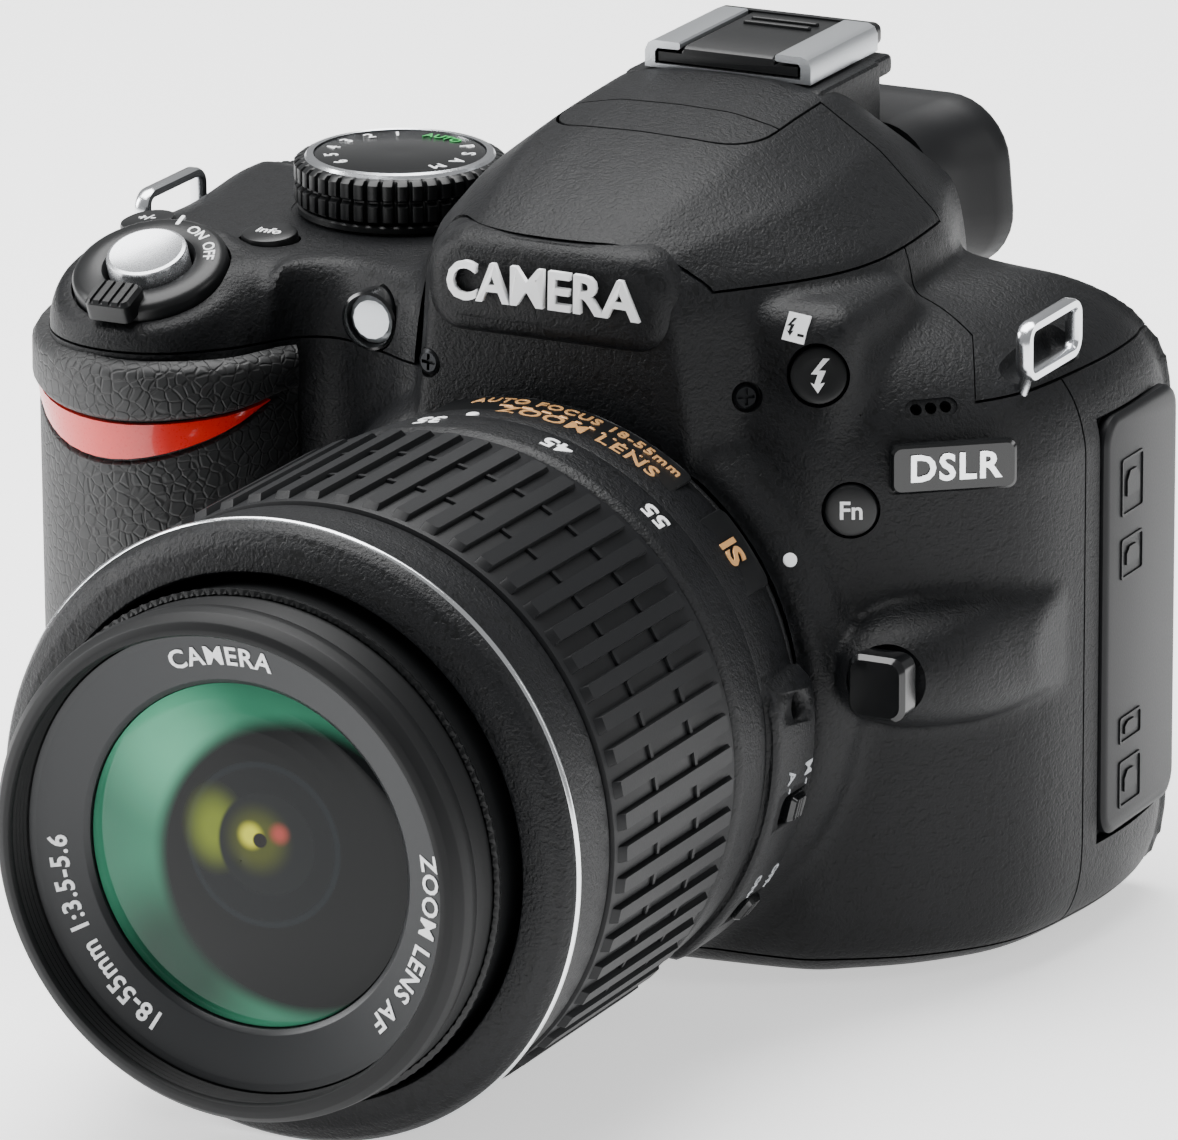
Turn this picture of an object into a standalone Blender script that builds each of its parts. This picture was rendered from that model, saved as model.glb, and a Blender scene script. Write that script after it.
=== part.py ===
"""Single-lens reflex camera with a zoom lens, as an assembly of separate pieces.

Frame: +Z up, the lens points to -Y, +X is to the right of someone facing the lens.
The origin is the middle of the camera's footprint, on the plane that its base stands on.
All lengths below are millimetres; MM turns them into metres where meshes are made.
"""

import math

import bmesh
import bpy
from mathutils import Matrix, Vector

MM = 0.001
GAP = 0.3

# Driving dimensions of the body.
REAR_Y = 62.0
DECK_Z = 76.0
TOP_SEAM_Z = 67.4
BASE_SEAM_Z = 3.0
SIDE_SEAM_Y = 34.0
WALL = 2.6
SPINE_X = (-40.0, 36.0)
SPINE_Y = 34.0

# Driving dimensions of the lens.
LENS_X = 10.0
LENS_Z = 35.2
MOUNT_R = 30.5
THROAT_R = 22.3
ZOOM_R = 34.9
FILTER_R = 28.2

# The flash head and the accessory shoe.
FLASH_SEAM_Z = 81.0
FLASH_REAR_Y = 44.6
FLASH_PIVOT = (45.0, 91.8)
TONGUE_HALF = 13.0
TONGUE_FRONT = 25.0
SHOE_Z = 94.2
SHOE_TOP_Z = 97.4
SHOE_Y = (47.4, 65.4)

# The mode dial and the shutter button on the top plate.
DIAL_CENTRE = (-28.0, 38.5)
DIAL_R = 12.4
SHUTTER_CENTRE = Vector((-44.0, 7.6, 74.2))
SHUTTER_AXIS = Vector((0.0, -0.36, 0.93)).normalized()

# The reflex mirror's hinge line and length.
MIRROR_HINGE = (41.5, 52.0)
MIRROR_LENGTH = 32.0


def clear_scene():
    for obj in list(bpy.data.objects):
        bpy.data.objects.remove(obj, do_unlink=True)


def material(name, colour, roughness, metallic=0.0):
    found = bpy.data.materials.get(name)
    if found:
        return found
    made = bpy.data.materials.new(name)
    made.use_nodes = True
    shader = made.node_tree.nodes["Principled BSDF"]
    shader.inputs["Base Color"].default_value = (*colour, 1.0)
    shader.inputs["Roughness"].default_value = roughness
    shader.inputs["Metallic"].default_value = metallic
    return made


def body_plastic():
    return material("body_plastic", (0.022, 0.023, 0.025), 0.55)


def smooth_plastic():
    return material("smooth_plastic", (0.018, 0.018, 0.02), 0.35)


def grip_rubber_material():
    return material("grip_rubber", (0.016, 0.016, 0.017), 0.8)


def silver_metal():
    return material("silver_metal", (0.62, 0.63, 0.64), 0.3, 1.0)


def dark_metal():
    return material("dark_metal", (0.12, 0.12, 0.13), 0.4, 1.0)


def glass_material():
    return material("coated_glass", (0.02, 0.05, 0.04), 0.05)


def red_plastic():
    return material("red_plastic", (0.55, 0.02, 0.02), 0.3)


def board_green():
    return material("circuit_board", (0.02, 0.12, 0.05), 0.5)


def new_object(name, bm, finish):
    bmesh.ops.recalc_face_normals(bm, faces=bm.faces)
    if bm.calc_volume(signed=True) < 0:
        bmesh.ops.reverse_faces(bm, faces=bm.faces)
    mesh = bpy.data.meshes.new(name)
    bm.to_mesh(mesh)
    bm.free()
    obj = bpy.data.objects.new(name, mesh)
    obj.data.materials.append(finish)
    bpy.context.scene.collection.objects.link(obj)
    return obj


def loft_mesh(sections, closed_chain=False):
    """Skin a chain of equal-length outlines; its ends are capped unless it closes on itself."""
    bm = bmesh.new()
    rings = [[bm.verts.new(Vector(p) * MM) for p in section] for section in sections]
    pairs = list(zip(rings, rings[1:]))
    if closed_chain:
        pairs.append((rings[-1], rings[0]))
    count = len(rings[0])
    for lower, upper in pairs:
        for i in range(count):
            j = (i + 1) % count
            bm.faces.new((lower[i], lower[j], upper[j], upper[i]))
    if not closed_chain:
        bm.faces.new(rings[0])
        bm.faces.new(rings[-1])
    return bm


def loft(name, sections, finish, closed_chain=False):
    return new_object(name, loft_mesh(sections, closed_chain), finish)


def box(name, low, high, finish, bevel=0.0):
    bm = bmesh.new()
    centre = (Vector(low) + Vector(high)) * 0.5 * MM
    size = (Vector(high) - Vector(low)) * MM
    bmesh.ops.create_cube(bm, size=1.0)
    bmesh.ops.scale(bm, vec=size, verts=bm.verts)
    bmesh.ops.translate(bm, vec=centre, verts=bm.verts)
    if bevel:
        bmesh.ops.bevel(bm, geom=bm.edges, offset=bevel * MM, segments=2, affect="EDGES", profile=0.6)
    return new_object(name, bm, finish)


def circle_points(radius, count, turn=0.0):
    return [
        (radius * math.cos(turn + math.tau * i / count), radius * math.sin(turn + math.tau * i / count))
        for i in range(count)
    ]


def turned(name, profile, finish, segments=40, closed=True, centre=(LENS_X, LENS_Z)):
    """Turn (radius, y) points about the line along Y through centre."""
    sections = [
        [(centre[0] + x, y, centre[1] + z) for x, z in circle_points(radius, segments)]
        for radius, y in profile
    ]
    return loft(name, sections, finish, closed_chain=closed)


def along_axis(centre, axis, sections, finish, name):
    """Loft outlines given as (distance along the axis, 2-D points) from centre."""
    axis = Vector(axis).normalized()
    frame = axis.to_track_quat("Z", "Y").to_matrix()
    placed = [
        [Vector(centre) + frame @ Vector((x, y, distance)) for x, y in points]
        for distance, points in sections
    ]
    return loft(name, placed, finish)


def cylinder(name, centre, axis, radius, low, high, finish, segments=16, chamfer=0.0):
    sections = [(low, circle_points(radius, segments))]
    if chamfer:
        sections.append((high - chamfer, circle_points(radius, segments)))
    sections.append((high, circle_points(radius - chamfer, segments)))
    return along_axis(centre, axis, sections, finish, name)


def combine(obj, tool, operation):
    """Apply one exact Boolean to obj and throw the tool away."""
    modifier = obj.modifiers.new("combine", "BOOLEAN")
    modifier.operation = operation
    modifier.solver = "EXACT"
    modifier.object = tool
    graph = bpy.context.evaluated_depsgraph_get()
    result = bpy.data.meshes.new_from_object(obj.evaluated_get(graph))
    obj.modifiers.clear()
    obj.data = result
    bpy.data.objects.remove(tool, do_unlink=True)
    weld(result)
    return obj


def weld(mesh):
    """Merge the slivers that a cut leaves where two edges nearly meet."""
    bm = bmesh.new()
    bm.from_mesh(mesh)
    bmesh.ops.remove_doubles(bm, verts=bm.verts, dist=0.003 * MM)
    bmesh.ops.dissolve_degenerate(bm, edges=bm.edges, dist=0.002 * MM)
    bm.to_mesh(mesh)
    bm.free()


def cut(obj, *tools):
    for tool in tools:
        combine(obj, tool, "DIFFERENCE")
    return obj


def cut_box(obj, low, high):
    return cut(obj, box("tool", low, high, body_plastic()))


def cut_pocket(obj, centre, axis, radius, low, high, segments=16):
    return cut(obj, cylinder("tool", centre, axis, radius, low, high, body_plastic(), segments))


def pivot(obj, point):
    """Move the object's origin to a point on its joint's axis, leaving its shape in place."""
    place = Vector(point) * MM
    obj.data.transform(Matrix.Translation(-place))
    obj.location = place
    return obj


def smooth_loop(points, steps):
    """Closed Catmull-Rom curve through the points."""
    curve = []
    count = len(points)
    for i in range(count):
        a, b, c, d = (Vector(points[(i + k) % count]) for k in (-1, 0, 1, 2))
        for step in range(steps):
            t = step / steps
            curve.append(
                0.5 * (2 * b + (c - a) * t + (2 * a - 5 * b + 4 * c - d) * t * t
                       + (3 * b - a - 3 * c + d) * t * t * t)
            )
    return curve


def body_plan():
    """Plan outline of the body at mid height, clockwise from above."""
    corners = [
        (55, 62), (61, 60), (62, 52), (62, 40), (59.5, 25), (52, 15), (43, 9), (35, 6.5),
        (10, 6.4), (-8, 6.5), (-16, 10), (-23, 12.7), (-28, 10), (-32, 2), (-41, -3),
        (-50.5, -0.4), (-57.9, 8.5), (-61.4, 24), (-62, 42), (-61, 60), (-54, 62), (0, 62),
    ]
    return smooth_loop([(x, min(y, REAR_Y)) for x, y in corners], 2)


def edge_rounding(x):
    """How far the top edge rounds over at a place across the body: little beside the prow."""
    if x < -30:
        return 1.0
    if x < 20:
        return 0.35
    return 0.35 + 1.45 * (x - 20) / 42


def contract_loop(points, amount, scale=lambda x: 1.0):
    """Move each point towards the body's middle line, so a rounded edge never folds over itself."""
    moved = []
    for point in points:
        middle = Vector((max(SPINE_X[0], min(SPINE_X[1], point.x)), SPINE_Y))
        moved.append(point + (middle - point).normalized() * amount * scale(point.x))
    return moved


def body_core():
    plan = body_plan()
    bottom = [(0.0, 5.2), (1.3, 2.0), (4.0, 0.4), (9.0, 0.0)]
    top = [(60.0, 0.0), (65.0, 0.8), (69.5, 2.8), (73.0, 5.8), (75.2, 9.2), (DECK_Z, 13.0)]
    sections = []
    for z, amount in bottom:
        sections.append([(p.x, p.y, z) for p in contract_loop(plan, amount)])
    for z, amount in top:
        sections.append([(p.x, p.y, z) for p in contract_loop(plan, amount, edge_rounding)])
    return loft("body", sections, body_plastic())


def hump_arch(y, half_width, top_z, steps=10):
    """One cross-section of the flash and viewfinder hump."""
    base_z = 64.0
    points = [(LENS_X - half_width, y, base_z - 2)]
    for i in range(steps + 1):
        angle = math.pi * (1 - i / steps)
        across = math.copysign(abs(math.cos(angle)) ** 1.15, math.cos(angle))
        points.append((LENS_X + half_width * across, y, base_z + (top_z - base_z) * math.sin(angle)))
    points.append((LENS_X + half_width, y, base_z - 2))
    return points


def hump():
    stations = [
        (2.0, 17.0, 85.6), (8.0, 21.0, 88.6), (15.0, 25.0, 91.0), (25.0, 29.0, 93.0),
        (36.0, 31.0, 94.3), (47.0, 32.0, 94.8), (56.0, 31.0, 91.4), (61.6, 26.0, 86.0),
    ]
    return loft("hump", [hump_arch(*station) for station in stations], body_plastic())


def release_bulge():
    """The horizontal swelling behind the lens release button."""
    stations = [
        (45.0, 3.6, 9.0, 5.5), (49.0, 3.4, 12.0, 7.2), (54.0, 6.0, 12.0, 7.2), (60.0, 14.0, 10.0, 6.4),
        (61.6, 24.0, 8.0, 5.0),
    ]
    sections = []
    for x, front_y, depth, half_height in stations:
        sections.append([
            (x, front_y + depth * (1 - math.cos(a)), LENS_Z + 3.8 + half_height * math.sin(a))
            for a in (math.radians(-90 + 18 * i) for i in range(11))
        ])
    return loft("bulge", sections, body_plastic())


def body_solid():
    """Everything that the four covers are cut from."""
    solid = body_core()
    additions = [
        hump(),
        box("pad", (LENS_X - 15.6, -0.6, 73.4), (LENS_X + 15.6, 9.0, 84.5), body_plastic(), 2.4),
        release_bulge(),
        box("bezel", (-23.5, 58.0, 7.0), (49.0, 63.6, 62.5), body_plastic(), 1.0),
        box("shoe_platform", (LENS_X - 12.6, 46.0, 84.0), (LENS_X + 12.6, 62.2, SHOE_Z - GAP), body_plastic(), 0.6),
        box("shoe_overhang", (LENS_X - 12.0, 60.0, 91.4), (LENS_X + 12.0, 66.6, SHOE_Z - GAP - 0.1), body_plastic(), 0.6),
    ]
    for addition in additions:
        combine(solid, addition, "UNION")
    return solid


def named_body_part(name, low, high):
    """The part of the body solid inside one box."""
    part = body_solid()
    part.name = name
    part.data.name = name
    combine(part, box("region", low, high, body_plastic()), "INTERSECT")
    return part


PROW_LOW = (LENS_X - 17.7, -5.0, 60.0)
PROW_HIGH = (LENS_X + 17.7, 10.4, 84.6)


def rear_round_buttons():
    """Name and (x, z, radius) of the round buttons on the rear face."""
    return {
        "playback_button": (55.4, 56.0, 2.9),
        "menu_button": (55.4, 45.5, 2.9),
        "zoom_out_button": (55.4, 35.0, 2.9),
        "zoom_in_button": (55.4, 24.5, 2.9),
        "delete_button": (-34.0, 14.5, 2.9),
        "lock_button": (-29.0, 60.0, 2.7),
    }


def front_buttons():
    """Name and (centre, outward direction, radius) of the buttons beside the lens."""
    return {
        "flash_button": (Vector((39.4, 10.6, 71.6)), Vector((0.30, -0.92, 0.26)), 3.3),
        "function_button": (Vector((43.6, 9.9, 56.8)), Vector((0.45, -0.9, 0.0)), 3.0),
    }


def top_buttons():
    """Name and (centre, outward direction, radius) of the small buttons behind the shutter."""
    return {
        "exposure_button": (Vector((-51.5, 20.5, 75.6)), Vector((-0.12, -0.1, 1.0)), 3.3),
        "info_button": (Vector((-35.5, 20.5, 75.9)), Vector((0.0, -0.1, 1.0)), 3.3),
    }


def front_cover():
    cover = named_body_part("front_cover", (-70, -10, BASE_SEAM_Z + GAP), (70, SIDE_SEAM_Y - GAP / 2, TOP_SEAM_Z))
    prow = named_body_part("prow", (PROW_LOW[0], PROW_LOW[1], PROW_LOW[2]), PROW_HIGH)
    combine(cover, prow, "UNION")
    cut_box(cover, (-58.5, 8.0, 2.0), (-31.5, 40.0, TOP_SEAM_Z - WALL))
    cut_box(cover, (-54.0, 3.5, 2.0), (-34.0, 9.0, TOP_SEAM_Z - WALL))
    cut_box(cover, (-32.0, 16.0, 2.0), (52.0, 40.0, TOP_SEAM_Z - WALL))
    cut_box(cover, (-12.0, 9.8, 6.0), (36.0, 20.0, TOP_SEAM_Z - WALL))
    cut_pocket(cover, (LENS_X, 0, LENS_Z), (0, 1, 0), MOUNT_R + GAP, -6.0, 30.0, 40)
    centre, axis, radius = front_buttons()["function_button"]
    cut_pocket(cover, centre, axis, radius + GAP, -2.2, 9.0)
    cut_pocket(cover, (50.4, 3.0, LENS_Z + 3.8), (0, -1, 0), 4.2, -3.6, 8.0)
    cut_box(cover, (LENS_X - 19.0, 12.5, 60.0), (LENS_X + 19.0, 40.0, 69.0))
    cut(cover, badge_block("tool", -GAP, 3.0, 2 * GAP))
    return cover


def rear_cover():
    cover = named_body_part("rear_cover", (-70, SIDE_SEAM_Y + GAP / 2, BASE_SEAM_Z + GAP), (70, 70, TOP_SEAM_Z))
    cut_box(cover, (-58.5, 30.0, 2.0), (58.5, 57.0, TOP_SEAM_Z - WALL))
    cut_box(cover, (-21.3, 61.9, 9.2), (46.8, 66.0, 60.3))
    cut_box(cover, (60.5, 37.2, 11.7), (66.0, 58.0, 62.3))
    cut_box(cover, (-66.0, 37.5, 19.7), (-60.5, 57.3, 52.3))
    cut_box(cover, (-66.0, 48.0, 23.0), (-56.0, 52.4, 49.0))
    for x, z, radius in rear_round_buttons().values():
        cut_pocket(cover, (x, 60.2, z), (0, 1, 0), radius + GAP, -0.4, 9.0)
    cut_pocket(cover, (-38.0, 59.6, 36.0), (0, 1, 0), 12.2, -0.4, 9.0, 32)
    cut_pocket(cover, (-40.5, 60.0, 55.6), (0, 1, 0), 6.5, -0.4, 9.0, 24)
    cut_box(cover, (-59.6, 60.6, 40.0), (-50.5, 66.0, 63.0))
    cut_box(cover, (LENS_X - 19.0, 30.0, 60.0), (LENS_X + 19.0, 56.0, 69.0))
    return cover


def bottom_cover():
    cover = named_body_part("bottom_cover", (-70, -10, -1.0), (70, 70, BASE_SEAM_Z))
    cut_box(cover, (-55.9, 9.3, -1.0), (-40.5, 48.9, 5.0))
    cut_pocket(cover, (LENS_X, 40.0, 0.0), (0, 0, 1), 6.5, -1.0, 5.0, 24)
    return cover


def flash_outline(clearance):
    """Plan of the flash head: a horseshoe that leaves room for the fixed tongue."""
    side = 40.0
    rear = FLASH_REAR_Y + clearance
    inner = TONGUE_HALF + GAP - clearance
    front = TONGUE_FRONT - GAP + clearance
    return [
        (LENS_X - side, -6.0), (LENS_X + side, -6.0), (LENS_X + side, rear), (LENS_X + inner, rear),
        (LENS_X + inner, front), (LENS_X - inner, front), (LENS_X - inner, rear), (LENS_X - side, rear),
    ]


def flash_region(clearance):
    plan = flash_outline(clearance)
    low, high = FLASH_SEAM_Z - clearance, 110.0
    return loft("region", [[(x, y, z) for x, y in plan] for z in (low, high)], body_plastic())


def top_cover():
    cover = named_body_part("top_cover", (-70, -10, TOP_SEAM_Z + GAP), (70, 70, 110))
    cut_box(cover, (PROW_LOW[0] - GAP, -8.0, 60.0), (PROW_HIGH[0] + GAP, PROW_HIGH[1] + GAP, PROW_HIGH[2] + 20))
    cut(cover, flash_region(GAP))
    cut_box(cover, (-53.0, 18.0, 60.0), (44.0, 56.0, 71.0))
    cut_box(cover, (LENS_X - 18.0, 13.0, 60.0), (LENS_X + 18.0, 58.0, 78.0))
    cut_box(cover, (LENS_X - 10.8, 27.0, 60.0), (LENS_X + 10.8, 58.0, 88.5))
    cut_box(cover, (LENS_X - 11.0, 50.0, 71.5), (LENS_X + 11.0, 70.0, 84.0))
    cut_box(cover, (LENS_X - 11.0, SHOE_Y[0] - GAP, SHOE_Z - GAP), (LENS_X + 11.0, 70.0, 100.0))
    cut_pocket(cover, SHUTTER_CENTRE, SHUTTER_AXIS, 9.4, -2.0, 14.0, 36)
    cut_pocket(cover, SHUTTER_CENTRE, SHUTTER_AXIS, 5.2, -4.2, 14.0, 24)
    raised = [*top_buttons().values(), front_buttons()["flash_button"]]
    for centre, axis, radius in raised:
        cut_pocket(cover, centre, axis, radius + GAP, -2.4, 9.0)
    cut_pocket(cover, (*DIAL_CENTRE, 0.0), (0, 0, 1), DIAL_R + 0.4, DECK_Z - 0.1, 100.0, 40)
    cut_pocket(cover, (-17.3, 13.4, 71.0), (0, -1, 0), 3.6, 0.0, 12.0, 24)
    cut_box(cover, (-58.0, 45.7, 68.9), (-41.9, 70.0, 74.3))
    cut_box(cover, (53.8, 25.2, 68.4), (70.0, 40.8, 90.0))
    cut_box(cover, (-70.0, 30.2, 69.2), (-55.4, 46.2, 90.0))
    return cover


def flash_head():
    head = hump()
    head.name = "flash_head"
    head.data.name = "flash_head"
    combine(head, flash_region(0.0), "INTERSECT")
    cut_box(head, (PROW_LOW[0] - 4, -8.0, 60.0), (PROW_HIGH[0] + 4, 4.0, PROW_HIGH[2] + GAP))
    cut_box(head, (PROW_LOW[0] - GAP, -8.0, 60.0), (PROW_HIGH[0] + GAP, PROW_HIGH[1] + GAP, PROW_HIGH[2] + GAP))
    cut_box(head, (LENS_X - 9.0, 13.0, 60.0), (LENS_X + 9.0, 30.0, 84.0))
    return pivot(head, (LENS_X, *FLASH_PIVOT))


def rounded_rect(half_width, half_height, radius, steps=2):
    """Outline of a rectangle with round corners, anticlockwise, centred on the origin."""
    points = []
    for quarter, (sx, sy) in enumerate(((1, 1), (-1, 1), (-1, -1), (1, -1))):
        for i in range(steps + 1):
            angle = math.radians(90 * quarter + 90 * i / steps)
            points.append((
                sx * (half_width - radius) + radius * math.cos(angle),
                sy * (half_height - radius) + radius * math.sin(angle),
            ))
    return points


BADGE_CENTRE = Vector((53.6, 15.4, 61.6))
BADGE_AXIS = Vector((0.62, -0.78, 0.0))


def badge_block(name, low, high, extra=0.0):
    plan = rounded_rect(6.8 + extra, 2.4 + extra, 0.8)
    return along_axis(BADGE_CENTRE, BADGE_AXIS, [(low, plan), (high, plan)], smooth_plastic(), name)


def grip_path():
    """Points and outward normals of the plan outline round the grip."""
    plan = [p for p in body_plan() if p.x < -26.0 and p.y < 30.0]
    path = []
    for i in range(1, len(plan) - 1):
        tangent = (plan[i + 1] - plan[i - 1]).normalized()
        path.append((plan[i], Vector((-tangent.y, tangent.x))))
    return path


def grip_strip(name, path, inner, outer, low, high, finish):
    """A skin that follows the grip between two offsets from its surface."""
    loop = [p + n * outer for p, n in path] + [p + n * inner for p, n in reversed(path)]
    return loft(name, [[(p.x, p.y, z) for p in loop] for z in (low, high)], finish)


def grip_pieces():
    path = grip_path()
    rubber = grip_strip("grip_rubber", path, GAP, 1.3, 5.0, 66.0, grip_rubber_material())
    cut(rubber, grip_strip("tool", path, 0.7, 1.8, 53.0, 60.0, red_plastic()))
    grip_strip("grip_accent", path[1:-1], 1.0, 1.4, 53.3, 59.7, red_plastic())


def body_trim():
    grip_pieces()
    box("thumb_rubber", (-59.3, 60.9, 40.3), (-50.8, 63.2, 62.7), grip_rubber_material(), 0.5)
    badge_block("model_badge", 0.0, 0.8)
    cylinder("af_lamp", (-17.3, 13.1, 71.0), (0, -1, 0), 3.3, 0.0, 2.6, glass_material(), 24, 0.4)
    box("monitor_window", (-21.0, 62.2, 9.5), (46.5, 63.8, 60.0), glass_material(), 0.3)
    box("eyepiece_lens", (LENS_X - 9.6, 58.2, 72.6), (LENS_X + 9.6, 60.0, 83.0), glass_material(), 0.3)


def eyecup():
    centre_z = 77.4
    outer = [(62.5, 19.4, 9.3), (66.0, 20.2, 9.5), (71.5, 22.6, 9.9), (74.2, 23.8, 10.4), (75.0, 23.4, 10.0)]
    inner = [(75.0, 22.2, 9.1), (72.0, 18.6, 8.6), (67.0, 13.0, 7.4), (62.5, 12.5, 7.0)]
    sections = []
    for y, half_width, half_height in outer + inner:
        plan = rounded_rect(half_width, half_height, half_height * 0.6)
        sections.append([(LENS_X + x, y, centre_z + z) for x, z in plan])
    return loft("eyecup", sections, grip_rubber_material(), closed_chain=True)


def accessory_shoe():
    half, lip, wall = 10.6, 6.3, 1.3
    profile = [
        (-half, SHOE_Z), (half, SHOE_Z), (half, SHOE_TOP_Z - 0.6), (half - 0.6, SHOE_TOP_Z),
        (lip, SHOE_TOP_Z), (lip, SHOE_TOP_Z - 0.8), (half - wall, SHOE_TOP_Z - 0.8),
        (half - wall, SHOE_Z + 0.5), (wall - half, SHOE_Z + 0.5), (wall - half, SHOE_TOP_Z - 0.8),
        (-lip, SHOE_TOP_Z - 0.8), (-lip, SHOE_TOP_Z), (0.6 - half, SHOE_TOP_Z), (-half, SHOE_TOP_Z - 0.6),
    ]
    loft("shoe_rails", [[(LENS_X + x, y, z) for x, z in profile] for y in SHOE_Y], silver_metal())
    foot_low = SHOE_Z + 0.5 + GAP
    cover = box("shoe_cover", (LENS_X - 8.9, SHOE_Y[0] + 0.6, foot_low), (LENS_X + 8.9, SHOE_Y[1] + 1.0, SHOE_Z + 2.0), smooth_plastic())
    raised = box("raised", (LENS_X - 5.9, SHOE_Y[0] + 0.2, foot_low), (LENS_X + 5.9, SHOE_Y[1] + 1.0, SHOE_Z + 2.9), smooth_plastic(), 0.3)
    stop = box("stop", (LENS_X - 10.4, SHOE_Y[1] + GAP, SHOE_Z + GAP), (LENS_X + 10.4, SHOE_Y[1] + 1.6, SHOE_Z + 3.0), smooth_plastic(), 0.4)
    combine(cover, raised, "UNION")
    combine(cover, stop, "UNION")


def strap_lug(name, x_low, x_high, centre):
    """An upright metal loop that stands in a dimple of the shoulder; centre is its (y, z)."""
    sections = []
    outer = rounded_rect(7.4, 3.5, 2.0)
    inner = rounded_rect(6.0, 2.3, 1.2)
    for x, plan in ((x_low, outer), (x_high, outer), (x_high, inner), (x_low, inner)):
        sections.append([(x, centre[0] + y, centre[1] + z) for y, z in plan])
    return loft(name, sections, silver_metal(), closed_chain=True)


def press_button(name, centre, axis, radius, low, high, finish=None, segments=16):
    """A round push button whose origin is on its own axis."""
    button = cylinder(name, centre, axis, radius, low, high, finish or smooth_plastic(), segments, 0.5)
    return pivot(button, centre)


def small_buttons():
    for name, (centre, axis, radius) in front_buttons().items():
        press_button(name, centre, axis, radius, -1.2, 1.0)
    for name, (centre, axis, radius) in top_buttons().items():
        press_button(name, centre, axis, radius, -1.4, 1.0)
    for name, (x, z, radius) in rear_round_buttons().items():
        press_button(name, (x, 60.2, z), (0, 1, 0), radius, 0.5, 2.9)
    press_button("lens_release_button", (50.4, 3.0, LENS_Z + 3.8), (0, -1, 0), 3.9, -2.0, 1.2)
    press_button("movie_button", (-40.5, 60.2, 55.6), (0, 1, 0), 2.9, 0.2, 2.4)
    press_button("ok_button", (-38.0, 60.2, 36.0), (0, 1, 0), 4.0, 0.0, 2.9)


def shutter_group():
    button_sections = [
        (-2.4, circle_points(4.7, 28)), (2.0, circle_points(4.7, 28)), (2.7, circle_points(4.0, 28)),
        (3.0, circle_points(2.4, 28)),
    ]
    button = along_axis(SHUTTER_CENTRE, SHUTTER_AXIS, button_sections, silver_metal(), "shutter_button")
    pivot(button, SHUTTER_CENTRE)
    collar = cylinder("power_switch", SHUTTER_CENTRE, SHUTTER_AXIS, 9.1, -1.6, 1.7, smooth_plastic(), 36, 0.8)
    tab_plan = [(x, y - 8.6) for x, y in rounded_rect(2.6, 2.4, 0.8)]
    tab = along_axis(SHUTTER_CENTRE, SHUTTER_AXIS, [(0.9, tab_plan), (3.2, tab_plan)], smooth_plastic(), "tab")
    combine(collar, tab, "UNION")
    cut_pocket(collar, SHUTTER_CENTRE, SHUTTER_AXIS, 5.2, -9.0, 9.0, 28)
    pivot(collar, SHUTTER_CENTRE)


def knurled_circle(radius, depth, teeth):
    points = []
    for i in range(teeth * 2):
        reach = radius if i % 2 else radius - depth
        angle = math.tau * i / (teeth * 2)
        points.append((reach * math.cos(angle), reach * math.sin(angle)))
    return points


def mode_dial():
    teeth = 24
    heights = [(77.4, DIAL_R, 0.5), (79.6, DIAL_R, 0.5), (79.8, DIAL_R - 0.9, 0.1), (80.1, DIAL_R - 0.9, 0.1),
               (80.3, DIAL_R, 0.5), (82.2, DIAL_R, 0.5), (83.0, DIAL_R - 1.2, 0.1)]
    sections = [(z, knurled_circle(radius, depth, teeth)) for z, radius, depth in heights]
    dial = along_axis((*DIAL_CENTRE, 0.0), (0, 0, 1), sections, smooth_plastic(), "mode_dial")
    pivot(dial, (*DIAL_CENTRE, 80.0))
    ring = cylinder("release_lever", (*DIAL_CENTRE, 0.0), (0, 0, 1), 12.0, DECK_Z + GAP, 77.1, smooth_plastic(), 36)
    spread = [math.radians(a) for a in (206, 213, 220, 227)]
    for radii, top in (((11.0, 15.8), 77.1), ((12.8, 15.8), 81.2)):
        plan = [(radii[0] * math.cos(a), radii[0] * math.sin(a)) for a in spread]
        plan += [(radii[1] * math.cos(a), radii[1] * math.sin(a)) for a in reversed(spread)]
        placed = [[(DIAL_CENTRE[0] + x, DIAL_CENTRE[1] + y, z) for x, y in plan] for z in (DECK_Z + GAP, top)]
        combine(ring, loft("lever", placed, smooth_plastic()), "UNION")
    pivot(ring, (*DIAL_CENTRE, 77.0))


def rear_controls():
    wheel = along_axis(
        (-50.0, 54.0, 0.0), (0, 0, 1),
        [(69.4, knurled_circle(7.6, 0.5, 20)), (73.8, knurled_circle(7.6, 0.5, 20))],
        smooth_plastic(), "command_dial",
    )
    pivot(wheel, (-50.0, 54.0, 71.6))
    pad = cylinder("multi_selector", (-38.0, 60.1, 36.0), (0, 1, 0), 11.6, 0.0, 2.8, smooth_plastic(), 36, 0.7)
    cut_pocket(pad, (-38.0, 60.1, 36.0), (0, 1, 0), 4.4, -1.0, 5.0, 24)
    pivot(pad, (-38.0, 60.1, 36.0))
    lever = cylinder("live_view_lever", (-40.5, 60.2, 55.6), (0, 1, 0), 6.1, -0.2, 1.9, smooth_plastic(), 28)
    handle = box("handle", (-42.0, 60.4, 60.0), (-39.0, 63.6, 61.6), smooth_plastic())
    combine(lever, handle, "UNION")
    cut_pocket(lever, (-40.5, 60.2, 55.6), (0, 1, 0), 3.3, -2.0, 5.0, 24)
    pivot(lever, (-40.5, 60.2, 55.6))


def doors():
    door = box("terminal_door", (60.8, 37.5, 12.0), (62.2, 57.6, 62.0), grip_rubber_material(), 0.3)
    pivot(door, (61.6, 57.3, 37.0))
    door = box("card_door", (-62.2, 38.0, 20.0), (-60.8, 57.0, 52.0), body_plastic(), 0.3)
    pivot(door, (-61.6, 38.3, 36.0))
    door = box("battery_door", (-55.6, 9.6, 0.3), (-41.2, 48.6, 2.7), body_plastic(), 0.3)
    pivot(door, (-41.6, 29.0, 1.0))


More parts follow.
